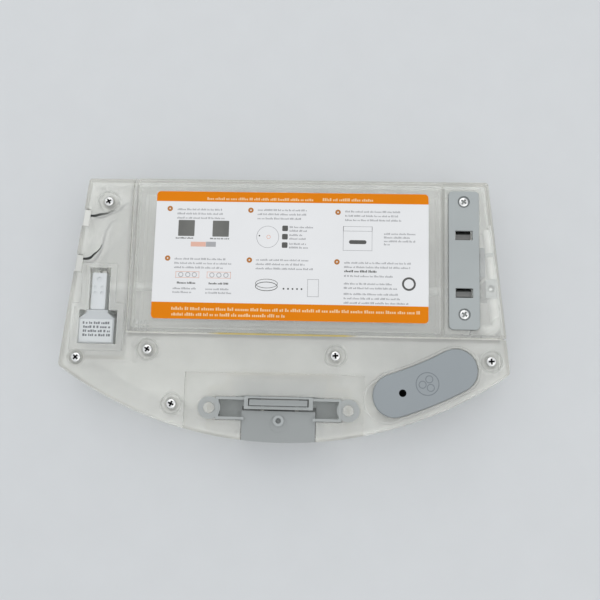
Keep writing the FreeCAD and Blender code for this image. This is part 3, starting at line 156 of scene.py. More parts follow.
@dataclass(frozen=True)
class Finish:
    """A solid finish with moulding grain.

    Attributes:
        name: Material name.
        colour: Base colour, linear.
        roughness: Mean roughness.
        metallic: 1 for metals.
        grain: Frequency of the grain, per metre.
        depth: Strength of the bump.
        mottle: How far the colour wanders, as a share.
        sheen: Specular level.
    """

    name: str
    colour: Colour
    roughness: float = 0.5
    metallic: float = 0.0
    grain: float = 2500.0
    depth: float = 0.12
    mottle: float = 0.04
    sheen: float = 0.5

    def start(self) -> tuple[bpy.types.Material, bpy.types.Node, bpy.types.Node]:
        """Makes the material with its grain group and shader joined up."""
        material = bpy.data.materials.new(self.name)
        material.use_nodes = True
        nodes, links = material.node_tree.nodes, material.node_tree.links
        shader = nodes["Principled BSDF"]
        grain = nodes.new("ShaderNodeGroup")
        grain.node_tree = bpy.data.node_groups.get("moulding_grain") or grain_group()
        grain.inputs["Colour"].default_value = (*self.colour, 1.0)
        grain.inputs["Roughness"].default_value = self.roughness
        grain.inputs["Grain"].default_value = self.grain
        grain.inputs["Depth"].default_value = self.depth
        grain.inputs["Mottle"].default_value = self.mottle
        links.new(grain.outputs["Colour"], shader.inputs["Base Color"])
        links.new(grain.outputs["Roughness"], shader.inputs["Roughness"])
        links.new(grain.outputs["Normal"], shader.inputs["Normal"])
        shader.inputs["Metallic"].default_value = self.metallic
        shader.inputs["Specular IOR Level"].default_value = self.sheen
        return material, grain, shader

    @staticmethod
    def fade(material: bpy.types.Material, axis: str, ends: Sequence[float], values: Sequence[float] = (0.0, 1.0),
             mirrored: bool = False) -> bpy.types.NodeSocket:
        """Adds a value that runs from one to the other along an axis of the object.

        Args:
            material: The material it belongs to.
            axis: X, Y or Z.
            ends: Where the run starts and ends, in metres.
            values: The value at each end.
            mirrored: Whether it runs outwards from the middle to both sides.

        Returns:
            The socket that puts the value out.
        """
        nodes, links = material.node_tree.nodes, material.node_tree.links
        place = nodes.new("ShaderNodeTexCoord")
        split = nodes.new("ShaderNodeSeparateXYZ")
        links.new(place.outputs["Object"], split.inputs[0])
        along = split.outputs[axis]
        if mirrored:
            away = nodes.new("ShaderNodeMath")
            away.operation = "ABSOLUTE"
            links.new(along, away.inputs[0])
            along = away.outputs[0]
        run = nodes.new("ShaderNodeMapRange")
        for label, value in zip(("From Min", "From Max", "To Min", "To Max"), (*ends, *values)):
            run.inputs[label].default_value = value
        links.new(along, run.inputs["Value"])
        return run.outputs[0]

    @staticmethod
    def blend(material: bpy.types.Material, factor: bpy.types.NodeSocket, first: Colour,
              second: Colour) -> bpy.types.NodeSocket:
        """Adds a mix of two colours.

        Args:
            material: The material it belongs to.
            factor: Share of the second colour.
            first: Colour at a share of 0.
            second: Colour at a share of 1.

        Returns:
            The socket that puts the colour out.
        """
        mix = material.node_tree.nodes.new("ShaderNodeMix")
        mix.data_type = "RGBA"
        mix.inputs["A"].default_value = (*first, 1.0)
        mix.inputs["B"].default_value = (*second, 1.0)
        material.node_tree.links.new(factor, mix.inputs["Factor"])
        return mix.outputs["Result"]

    def build(self) -> bpy.types.Material:
        """Returns the finished material."""
        return self.start()[0]


@dataclass(frozen=True)
class Milky(Finish):
    """Frosted plastic: light passes, and what lies behind it blurs with its distance.

    Attributes:
        clarity: Share of the surface that transmits.
        density: Index of refraction.
        shade: Share of a light's rays that the surface stops.
    """

    clarity: float = 0.5
    density: float = 1.2
    shade: float = 0.12

    def build(self) -> bpy.types.Material:
        """Returns the finished material."""
        material, _, shader = self.start()
        nodes, links = material.node_tree.nodes, material.node_tree.links
        shader.inputs["Transmission Weight"].default_value = self.clarity
        shader.inputs["IOR"].default_value = self.density
        path = nodes.new("ShaderNodeLightPath")
        veil = nodes.new("ShaderNodeMapRange")
        veil.inputs["To Min"].default_value = 1.0
        veil.inputs["To Max"].default_value = self.shade
        links.new(path.outputs["Is Shadow Ray"], veil.inputs["Value"])
        links.new(veil.outputs[0], shader.inputs["Alpha"])
        return material


@dataclass(frozen=True)
class SeamSeal(Finish):
    """Pale soft seal whose middle stretch, which stands higher, is golden.

    Attributes:
        golden: Colour of the middle stretch.
        half: Half length of that stretch along X.
        soft: Half length of the change of colour at its ends.
    """

    golden: Colour = (0.58, 0.47, 0.17)
    half: float = 0.031
    soft: float = 0.003

    def build(self) -> bpy.types.Material:
        """Returns the finished material."""
        material, grain, _ = self.start()
        share = self.fade(material, "X", (self.half - self.soft, self.half + self.soft), mirrored=True)
        material.node_tree.links.new(self.blend(material, share, self.golden, self.colour), grain.inputs["Colour"])
        return material


@dataclass(frozen=True)
class Sunk(Finish):
    """A dark piece under the frosted cover, paler the deeper it lies.

    Attributes:
        veil: Colour that the deep stretches take.
        near: Height at which the full colour shows.
        deep: Height at which only the veil shows.
    """

    veil: Colour = (0.50, 0.51, 0.51)
    near: float = 0.0172
    deep: float = 0.0145

    def build(self) -> bpy.types.Material:
        """Returns the finished material."""
        material, grain, _ = self.start()
        share = self.fade(material, "Z", (self.deep, self.near))
        material.node_tree.links.new(self.blend(material, share, self.veil, self.colour), grain.inputs["Colour"])
        return material


@dataclass(frozen=True)
class Fading(Finish):
    """A dark streak that fades out along X.

    Attributes:
        full: Where it is darkest.
        gone: Where it has vanished.
        strength: Largest opacity.
    """

    full: float = -0.089
    gone: float = -0.0785
    strength: float = 0.8

    def build(self) -> bpy.types.Material:
        """Returns the finished material."""
        material, _, shader = self.start()
        opacity = self.fade(material, "X", (self.full, self.gone), (self.strength, 0.0))
        material.node_tree.links.new(opacity, shader.inputs["Alpha"])
        return material


class Look(Enum):
    """Every finish in the scene."""

    SHELL = Milky("shell_frosted", (0.94, 0.945, 0.92), 0.34, clarity=0.55, density=1.28, shade=0.05)
    COVER = Milky("cover_frosted", (0.965, 0.97, 0.945), 0.075, depth=0.04, clarity=0.73, density=1.3,
                  shade=0.05)
    REAR = Milky("rear_cover_frosted", (0.965, 0.97, 0.945), 0.045, depth=0.04, clarity=0.76, density=1.3,
                 shade=0.05)
    GASKET = SeamSeal("gasket_soft", (0.80, 0.80, 0.76), 0.6)
    LABEL = Finish("label_film", (0.74, 0.74, 0.745), 0.42, grain=900.0, depth=0.05, mottle=0.015, sheen=0.3)
    PUMP_LABEL = Finish("pump_label_film", (0.65, 0.67, 0.675), 0.45, grain=900.0, depth=0.05, sheen=0.3)
    PLATE = Finish("plate_grey", (0.36, 0.385, 0.385), 0.45, depth=0.25)
    SCREW = Finish("screw_plated", (0.80, 0.80, 0.79), 0.24, 1.0, 1800.0, 0.2, 0.05)
    CONTACT = Finish("contact_spring", (0.64, 0.64, 0.61), 0.30, 1.0, 2200.0, 0.2, 0.06)
    # Metal leaf contacts whose colour is darkened as painted shade of the deep windows they lie in.
    LEAF = Finish("leaf_spring_painted_shade", (0.17, 0.17, 0.165), 0.30, 1.0, 2200.0, 0.2, 0.06)
    PLUG = Finish("plug_silicone", (0.285, 0.31, 0.325), 0.62, grain=4200.0, depth=0.35, mottle=0.02, sheen=0.3)
    BRACKET = Milky("latch_frame_satin", (0.47, 0.49, 0.485), 0.36, clarity=0.25)
    LATCH = Milky("latch_button_satin", (0.34, 0.355, 0.353), 0.40, clarity=0.08)
    SPRING = Finish("spring_wire", (0.55, 0.55, 0.55), 0.3, 1.0)
    MOTOR = Finish("pump_case", (0.53, 0.55, 0.56), 0.5, sheen=0.3)
    PUMP = Finish("pump_head_matt", (0.68, 0.70, 0.71), 0.5, sheen=0.3)
    WIRE = Sunk("wire_sleeve", (0.012, 0.014, 0.016), 0.5)
    WIRE_END = Fading("wire_show_through", (0.03, 0.033, 0.033), 0.5, sheen=0.2)
    PUMP_INK = Finish("pump_print", (0.18, 0.19, 0.2), 0.5)
    # Painted highlight: the paler top of the button's raised ring, where it catches the light from above.
    RING = Finish("ring_painted_highlight", (0.38, 0.40, 0.398), 0.4)
    HOSE = Milky("hose_soft", (0.92, 0.93, 0.92), 0.28, clarity=0.35)
    VALVE = Milky("valve_natural", (0.50, 0.53, 0.54), 0.4, clarity=0.2)
    BALL = Finish("ball_polished", (0.9, 0.9, 0.9), 0.08, 1.0)
    DARK = Finish("clip_dark", (0.16, 0.18, 0.21), 0.5)
    NOZZLE = Finish("nozzle_soft", (0.05, 0.05, 0.05), 0.6)
    ORANGE = Finish("print_orange", (0.70, 0.20, 0.003), 0.5, grain=900.0, depth=0.05, mottle=0.03, sheen=0.08)
    PALE = Finish("print_pale", (0.80, 0.52, 0.28), 0.45, mottle=0.05)
    GREY = Finish("print_grey", (0.36, 0.36, 0.37), 0.5, mottle=0.08)
    CODE = Finish("print_square", (0.13, 0.13, 0.12), 0.5, mottle=0.25)
    DARK_INK = Finish("print_dark", (0.07, 0.07, 0.065), 0.5, mottle=0.1)
    BROWN = Finish("print_brown", (0.42, 0.15, 0.02), 0.5, mottle=0.05)
    PINK = Finish("print_pink", (0.72, 0.42, 0.33), 0.5, mottle=0.05)
    # Painted shade: near-black inside the screw recesses, on the walls of the plug's vent hole and on the disc
    # under it.
    HOLE = Finish("painted_hole_shade", (0.004, 0.004, 0.004), 0.9, sheen=0.0)
    # Painted shade: dark rings round the cover screws that stand in for the shade at their heads and seat steps.
    LINE = Finish("painted_seat_shadow", (0.40, 0.41, 0.385), 0.5, mottle=0.1, sheen=0.2)
    # Painted shade, paler: the grey inside the plate screws' recesses.
    WORN = Finish("painted_recess_shade_light", (0.33, 0.34, 0.33), 0.5, 1.0, 1800.0, 0.3, 0.2)
    # Painted shade: the plug's moulded mark is darker than the plug to stand in for the shade of its lines.
    GROOVE = Finish("plug_groove_painted_shade", (0.17, 0.19, 0.205), 0.65, grain=4200.0, depth=0.3)
    FLOOR = Finish("table_top", (0.605, 0.617, 0.627), 0.6, grain=120.0, depth=0.05, mottle=0.012)

    @property
    def material(self) -> bpy.types.Material:
        """The Blender material of this finish, made once."""
        return bpy.data.materials.get(self.value.name) or self.value.build()


NODE_LOOKS: dict[Look, tuple[str, ...]] = {
    Look.SHELL: ("lower_shell",),
    Look.COVER: ("front_cover",),
    Look.REAR: ("rear_cover",),
    Look.GASKET: ("cover_gasket",),
    Look.LABEL: ("label_sheet",),
    Look.PUMP_LABEL: ("pump_label",),
    Look.PLATE: ("contact_plate",),
    Look.SCREW: ("plate_screws", "cover_screws"),
    Look.CONTACT: ("side_contact_rear", "side_contact_front", "pump_terminals"),
    Look.LEAF: ("leaf_contact_rear", "leaf_contact_front"),
    Look.PLUG: ("fill_plug", "plug_anchor"),
    Look.BRACKET: ("latch_bracket",),
    Look.LATCH: ("lock_bar", "release_button"),
    Look.SPRING: ("button_springs", "lock_spring"),
    Look.MOTOR: ("pump_motor",),
    Look.PUMP: ("pump_head", "inlet_strainer"),
    Look.WIRE: ("wire_rear", "wire_front"),
    Look.HOSE: ("feed_hose", "vent_tube", "outlet_pipe"),
    Look.VALVE: ("valve_block", "vent_collar"),
    Look.BALL: ("valve_ball",),
    Look.DARK: ("tube_clip",),
    Look.NOZZLE: ("outlet_left", "outlet_right"),
}


def dress_nodes() -> None:
    """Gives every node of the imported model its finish."""
    for look, names in NODE_LOOKS.items():
        for name in names:
            mesh = frame["nodes"][name].data
            mesh.materials.clear()
            mesh.materials.append(look.material)


# Helpers that build and finish meshes.

def finish_mesh(bm: bmesh.types.BMesh, name: str, look: Look, smooth: bool = False) -> bpy.types.Object:
    """Turns a bmesh into a linked object with its origin at the world's.

    Args:
        bm: The mesh, which is freed.
        name: Name of the object.
        look: Its finish.
        smooth: Whether faces meeting below 35 degrees are shaded smooth.

    Returns:
        The new object.
    """
    bmesh.ops.remove_doubles(bm, verts=bm.verts, dist=1e-7)
    bmesh.ops.recalc_face_normals(bm, faces=bm.faces)
    mesh = bpy.data.meshes.new(name)
    bm.to_mesh(mesh)
    bm.free()
    obj = bpy.data.objects.new(name, mesh)
    bpy.context.scene.collection.objects.link(obj)
    mesh.materials.append(look.material)
    if smooth:
        mesh.shade_smooth()
        mesh.set_sharp_from_angle(angle=math.radians(35.0))
    LOG.info("piece %s: %d faces", name, len(mesh.polygons))
    return obj


def flat_rect(bm: bmesh.types.BMesh, x0: float, x1: float, y0: float, y1: float, z: float,
              radius: float = 0.0) -> None:
    """Adds a flat rectangle facing up, with rounded corners where a radius is given."""
    made = bmesh.ops.create_grid(bm, x_segments=1, y_segments=1, size=0.5)
    verts = made["verts"]
    size = Matrix.Diagonal((x1 - x0, y1 - y0, 1.0, 1.0))
    bmesh.ops.transform(bm, matrix=Matrix.Translation(((x0 + x1) / 2, (y0 + y1) / 2, z)) @ size, verts=verts)
    if radius > 0.0:
        bmesh.ops.bevel(bm, geom=verts, offset=radius, offset_type="OFFSET", segments=5, profile=0.5,
                        affect="VERTICES", material=-1)


def flat_ring(bm: bmesh.types.BMesh, x: float, y: float, z: float, outer: float, inner: float,
              stretch: float = 1.0, segments: int = 28) -> None:
    """Adds a flat ring or disc facing up; stretch squeezes it along Y."""
    made = bmesh.ops.create_circle(bm, cap_ends=True, radius=outer, segments=segments)
    shift = Matrix.Translation((x, y, z)) @ Matrix.Diagonal((1.0, stretch, 1.0, 1.0))
    bmesh.ops.transform(bm, matrix=shift, verts=made["verts"])
    if inner > 0.0:
        face = made["verts"][0].link_faces[0]
        bmesh.ops.inset_region(bm, faces=[face], thickness=outer - inner, use_boundary=True,
                               use_even_offset=True)
        bmesh.ops.delete(bm, geom=[face], context="FACES")


def lathe(bm: bmesh.types.BMesh, profile: Iterable[tuple[float, float]], centre: Vector,
          turn: float = 2 * math.pi, steps: int = 40, first: Vector = Vector((1.0, 0.0, 0.0))) -> None:
    """Spins an open profile of (radius, z) points about an upright axis through centre.

    Args:
        bm: The mesh it is added to.
        profile: The points, whose radius is measured along first.
        centre: A point of the axis.
        turn: How far it spins.
        steps: Number of steps.
        first: Direction of the profile at the start.
    """
    verts = [bm.verts.new((centre.x + first.x * r, centre.y + first.y * r, z)) for r, z in profile]
    edges = [bm.edges.new(pair) for pair in zip(verts, verts[1:])]
    bmesh.ops.spin(bm, geom=verts + edges, cent=(centre.x, centre.y, 0.0), axis=UP, angle=turn, steps=steps,
                   use_merge=abs(turn) > 6.28)


def cut_out(piece: bpy.types.Object, tool: bpy.types.Object) -> None:
    """Cuts the tool out of the piece, whose new faces take the tool's finish, and removes the tool."""
    cut = piece.modifiers.new("cut", "BOOLEAN")
    cut.operation = "DIFFERENCE"
    cut.object = tool
    cut.solver = "EXACT"
    cut.use_self = True
    cut.material_mode = "TRANSFER"
    bpy.context.view_layer.update()
    solid = bpy.data.meshes.new_from_object(piece.evaluated_get(bpy.context.evaluated_depsgraph_get()))
    piece.modifiers.clear()
    piece.data = solid
    bpy.data.objects.remove(tool)


# Print of the label sheet.

@dataclass(frozen=True)
class Line:
    """One greeked line of print, in millimetres."""

    x0: float
    x1: float
    y: float
    height: float = 0.85


@dataclass
class LabelPrint:
    """Colour fields and plain shapes on the label film.

    Attributes:
        corner: Corner radius of the film.
        header: Lower edge of the top band, in millimetres.
        footer: Upper edge of the bottom band, in millimetres.
        lift: Height of the ink above the film.
    """

    corner: float = 1.8
    header: float = 48.7
    footer: float = 1.7
    lift: float = 0.00002

    def __post_init__(self) -> None:
        self.low, self.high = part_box("label_sheet")
        self.z = self.high.z + self.lift
        self.dice = random.Random(7)

    def _ink(self, name: str, look: Look, draw: Callable[[bmesh.types.BMesh], None]) -> None:
        """Draws one colour of ink as one flat piece on the tank."""
        bm = bmesh.new()
        draw(bm)
        obj = finish_mesh(bm, name, look)
        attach(obj, Body.TANK.value)

    def _band(self, bm: bmesh.types.BMesh, y: float, keep_above: bool) -> None:
        """Adds the part of the film's outline above or below y."""
        inset = 0.00005
        other = bmesh.new()
        flat_rect(other, self.low.x + inset, self.high.x - inset, self.low.y + inset, self.high.y - inset,
                  self.z, self.corner * MM)
        bmesh.ops.bisect_plane(other, geom=other.verts[:] + other.edges[:] + other.faces[:],
                               plane_co=(0.0, y * MM, 0.0), plane_no=(0.0, 1.0, 0.0),
                               clear_inner=keep_above, clear_outer=not keep_above)
        spare = bpy.data.meshes.new("band")
        other.to_mesh(spare)
        other.free()
        bm.from_mesh(spare)
        bpy.data.meshes.remove(spare)

    def _words(self, bm: bmesh.types.BMesh, lines: Iterable[Line], lift: float = 0.0) -> None:
        """Adds each line as groups of small bars, uneven in height, with gaps between the groups."""
        for line in lines:
            low = line.y - line.height / 2
            x = line.x0
            while x < line.x1 - 0.4:
                for _ in range(self.dice.randint(2, 7)):
                    width = line.height * self.dice.uniform(0.38, 0.62)
                    high = low + line.height * self.dice.choice((0.72, 0.72, 1.0, 1.12))
                    flat_rect(bm, x * MM, (x + width) * MM, low * MM, high * MM, self.z + lift)
                    x += width + line.height * 0.2
                    if x > line.x1 - 0.3:
                        break
                x += line.height * 0.45

    def _frame(self, bm: bmesh.types.BMesh, x0: float, x1: float, y0: float, y1: float, width: float) -> None:
        """Adds a thin rectangular outline from four bars."""
        for a, b, c, d in ((x0, x1, y0, y0 + width), (x0, x1, y1 - width, y1), (x0, x0 + width, y0, y1),
                           (x1 - width, x1, y0, y1)):
            flat_rect(bm, a * MM, b * MM, c * MM, d * MM, self.z)

    def build(self) -> None:
        """Draws all the inks."""
        def bands(bm: bmesh.types.BMesh) -> None:
            self._band(bm, self.header, True)
            self._band(bm, self.footer, False)

        def band_words(bm: bmesh.types.BMesh) -> None:
            self._words(bm, [Line(-36.2, 13.4, 50.1, 1.1), Line(16.9, 40.9, 50.3, 1.2),
                             Line(-50.4, 61.7, -1.2, 1.3), Line(-50.2, 1.1, -3.8, 1.3)], self.lift)

        def grey(bm: bmesh.types.BMesh) -> None:
            for x0, x1, top, rows in ((-49.7, -26.0, 44.9, 3), (-50.0, -25.0, 21.7, 3), (-12.7, 10.0, 45.1, 3),
                                      (-12.8, 12.0, 21.8, 3), (27.3, 52.0, 44.9, 3), (27.2, 58.0, 21.1, 2),
                                      (27.2, 49.0, 15.0, 1), (27.2, 50.1, 11.5, 2), (27.2, 55.0, 6.8, 3),
                                      (45.0, 59.2, 34.7, 3), (45.0, 50.0, 29.8, 1), (-50.2, -38.4, 8.0, 2),
                                      (-35.3, -23.7, 7.9, 2), (2.1, 13.0, 37.2, 2), (2.1, 10.0, 33.5, 2),
                                      (2.1, 10.0, 29.4, 2)):
                pitch = 1.7 if x1 - x0 < 16.0 else 2.0
                self._words(bm, [Line(x0, x1 + self.dice.uniform(-3.0, 1.5), top - pitch * row, 0.8)
                                 for row in range(rows)])
            flat_ring(bm, -7.8 * MM, 32.5 * MM, self.z, 5.15 * MM, 4.95 * MM)
            for x0, x1, y0, y1 in ((10.8, 15.9, 5.2, 13.2), (26.5, 39.7, 26.7, 38.0), (26.5, 39.7, 35.7, 38.0)):
                self._frame(bm, x0, x1, y0, y1, 0.18)
            for x in (-46.8, -43.6, -40.6, -32.6, -29.4, -26.2):
                flat_ring(bm, x * MM, 14.4 * MM, self.z + self.lift, 1.15 * MM, 0.85 * MM)

        def squares(bm: bmesh.types.BMesh) -> None:
            half = 3.75
            for x, y in ((-45.2, 36.1), (-29.4, 36.0)):
                flat_rect(bm, (x - half) * MM, (x + half) * MM, (y - half) * MM, (y + half) * MM, self.z,
                          0.3 * MM)

        def dark(bm: bmesh.types.BMesh) -> None:
            for y in (36.6, 32.7, 28.8):
                flat_rect(bm, -1.25 * MM, 1.35 * MM, (y - 1.3) * MM, (y + 1.3) * MM, self.z, 0.5 * MM)
            flat_rect(bm, 29.2 * MM, 37.1 * MM, 29.8 * MM, 31.6 * MM, self.z, 0.85 * MM)
            self._words(bm, [Line(-49.9, -41.9, 31.4, 0.6), Line(-34.1, -25.4, 31.3, 0.6),
                             Line(-48.4, -40.1, 10.6), Line(-33.9, -25.0, 10.5),
                             Line(27.3, 41.9, 17.2, 0.95)])
            for index in range(5):
                flat_ring(bm, (0.1 + 2.03 * index) * MM, 8.65 * MM, self.z, 0.42 * MM, 0.0, segments=12)
            for y, width in ((10.9, 0.22), (9.6, 0.3)):
                flat_ring(bm, -7.7 * MM, y * MM, self.z, 5.1 * MM, (5.1 - width) * MM, 0.42)
            flat_ring(bm, -11.6 * MM, 33.0 * MM, self.z, 0.36 * MM, 0.0, segments=12)
            flat_ring(bm, 56.3 * MM, 11.8 * MM, self.z, 3.1 * MM, 2.2 * MM)

        def dots(bm: bmesh.types.BMesh) -> None:
            for x, y in ((-53.2, 45.2), (-15.9, 44.9), (24.0, 44.5), (-53.2, 21.9), (-15.8, 21.6),
                         (23.9, 21.4)):
                flat_ring(bm, x * MM, y * MM, self.z, 1.25 * MM, 0.36 * MM)

        def pink(bm: bmesh.types.BMesh) -> None:
            flat_rect(bm, -42.9 * MM, -36.0 * MM, 27.5 * MM, 29.7 * MM, self.z)
            for x0, x1 in ((-49.2, -38.4), (-34.9, -24.0)):
                self._frame(bm, x0, x1, 12.9, 15.9, 0.22)
            flat_ring(bm, -7.4 * MM, 32.5 * MM, self.z, 0.95 * MM, 0.7 * MM, segments=16)

        def pale_grey(bm: bmesh.types.BMesh) -> None:
            flat_rect(bm, -35.9 * MM, -31.4 * MM, 27.5 * MM, 29.8 * MM, self.z)

        self._ink("label_bands", Look.ORANGE, bands)
        self._ink("label_band_words", Look.PALE, band_words)
        self._ink("label_grey_print", Look.GREY, grey)
        self._ink("label_dark_print", Look.DARK_INK, dark)
        self._ink("label_squares", Look.CODE, squares)
        self._ink("label_dots", Look.BROWN, dots)
        self._ink("label_pink_print", Look.PINK, pink)
        self._ink("label_badge", Look.GREY, pale_grey)

# Print on the pump, painted shadow lines round the screws, the button ring's painted highlight, and the springs.

@dataclass
class PumpPrint:
    """Four greeked rows on the pump's label.

    Attributes:
        rows: Number of rows.
        margin: Free edge left and right.
        lift: Height of the ink above the film.
    """

    rows: int = 4
    margin: float = 0.0012
    lift: float = 0.00003

    def build(self) -> None:
        """Draws the rows as groups of small bars."""
        low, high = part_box("pump_label")
        dice = random.Random(3)
        bm = bmesh.new()
        pitch = (high.y - low.y) / (self.rows + 1.6)
        for row in range(self.rows):
            x = low.x + self.margin + dice.uniform(0.0, 0.0006)
            y = high.y - pitch * (row + 1.2)
            while x < high.x - self.margin:
                width = dice.uniform(0.0005, 0.001)
                flat_rect(bm, x, x + width, y, y + pitch * dice.choice((0.45, 0.6)), high.z + self.lift)
                x += width + dice.choice((0.0002, 0.0002, 0.0007))
        obj = finish_mesh(bm, "pump_label_print", Look.PUMP_INK)
        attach(obj, Body.TANK.value)


@dataclass
class SeatLines:
    """Painted shadow lines round each cover screw, at its head and at the edge of its seat: dark rings that stand
    in for the shade of these steps.

    Attributes:
        seat_z: Height of the seats.
        top_z: Height of the cover's top.
        seat: Radius of a seat.
        corner_seat: Radius of the seat at the left corner.
        width: Width of a line.
    """

    seat_z: float = 0.02163
    top_z: float = 0.02243
    seat: float = 0.0047
    corner_seat: float = 0.0034
    width: float = 0.00022

    def build(self) -> None:
        """Draws all the lines as one piece."""
        bm = bmesh.new()
        for index, (low, high) in enumerate(sorted(part_boxes("cover_screws"), key=lambda box: box[0].x)):
            at, head = (low + high) / 2, (high.x - low.x) / 2 + 0.00006
            edge = self.seat if index else self.corner_seat
            flat_ring(bm, at.x, at.y, self.seat_z, head + self.width, head)
            flat_ring(bm, at.x, at.y, self.top_z, edge + self.width, edge, segments=48)
        obj = finish_mesh(bm, "screw_seat_shadow_lines", Look.LINE)
        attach(obj, Body.TANK.value)


@dataclass
class ButtonRing:
    """Painted highlight: the paler top of the raised ring round the button's hole.

    Attributes:
        x: Middle of the ring.
        y: Middle of the ring.
        outer: Radius of the ring.
        inner: Radius of the hole.
        lift: Height above the moulded ring.
    """

    x: float = -0.0008
    y: float = -0.0502
    outer: float = 0.00235
    inner: float = 0.00125
    lift: float = 0.00003

    def build(self) -> None:
        """Lays the painted highlight just over the moulded ring's top."""
        bm = bmesh.new()
        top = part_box("release_button")[1].z + self.lift
        flat_ring(bm, self.x, self.y, top, self.outer, self.inner, segments=48)
        obj = finish_mesh(bm, "button_ring_highlight", Look.RING)
        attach(obj, Body.BUTTON.value)


@dataclass
class Coil:
    """A steel spring in place of the frame's rigid one.

    Attributes:
        node: The spring's node.
        joint: The joint that presses it; not used.
        axis: The way the spring lies; not used.
        high_fixed: Whether the end that stays is the high one; not used.
        travel: How far the other end moves; not used.
    """

    node: str
    joint: str
    axis: Vector
    high_fixed: bool
    travel: float = 0.002

    def build(self) -> None:
        """Makes the spring from the node's mesh in place of the node and puts it on the tank."""
        bm = bmesh.new()
        bm.from_mesh(frame["nodes"][self.node].data)
        bmesh.ops.remove_doubles(bm, verts=bm.verts, dist=1e-6)
        obj = finish_mesh(bm, f"{self.node}_coils", Look.SPRING, True)
        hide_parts(self.node)
        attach(obj, Body.TANK.value)
        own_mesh(obj)


@dataclass
class WireEnds:
    """The dark stretches where the wires press on the cover from below, as they show at its top.

    Attributes:
        height: Height of the stretches.
        thick: Largest half width.
        flat: How far the swept form is flattened.
        rear: Path of the rear wire, in millimetres.
        front: Path of the front wire, in millimetres.
        widths: Share of the largest width at each point of a path.
    """

    height: float = 0.02243
    thick: float = 0.00058
    flat: float = 0.03
    rear: Path = ((-90.4, 41.6), (-88.4, 41.6), (-86.5, 42.1), (-82.2, 43.1), (-78.9, 45.2), (-77.5, 47.6))
    front: Path = ((-92.6, 21.2), (-90.6, 21.3), (-89.2, 21.8), (-87.6, 23.4), (-85.2, 25.8), (-84.3, 28.0))
    widths: tuple[float, ...] = (0.8, 1.0, 1.0, 0.8, 0.45, 0.15)

    def build(self) -> None:
        """Sweeps both stretches, thin towards their far ends."""
        data = bpy.data.curves.new("wire_ends", "CURVE")
        data.dimensions = "3D"
        data.bevel_depth = self.thick
        data.bevel_resolution = 2
        data.use_fill_caps = True
        for path in (self.rear, self.front):
            line = data.splines.new("BEZIER")
            line.bezier_points.add(len(path) - 1)
            for point, (x, y), width in zip(line.bezier_points, path, self.widths):
                point.co = (x * MM, y * MM, self.height)
                point.handle_left_type = point.handle_right_type = "AUTO"
                point.radius = width
        swept = bpy.data.objects.new("wire_ends_curve", data)
        bm = bmesh.new()
        bm.from_mesh(swept.to_mesh())
        swept.to_mesh_clear()
        bpy.data.objects.remove(swept)
        bmesh.ops.scale(bm, vec=(1.0, 1.0, self.flat), space=Matrix.Translation((0.0, 0.0, -self.height)),
                        verts=bm.verts)
        obj = finish_mesh(bm, "wire_ends", Look.WIRE_END)
        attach(obj, Body.TANK.value)


# The fill plug.

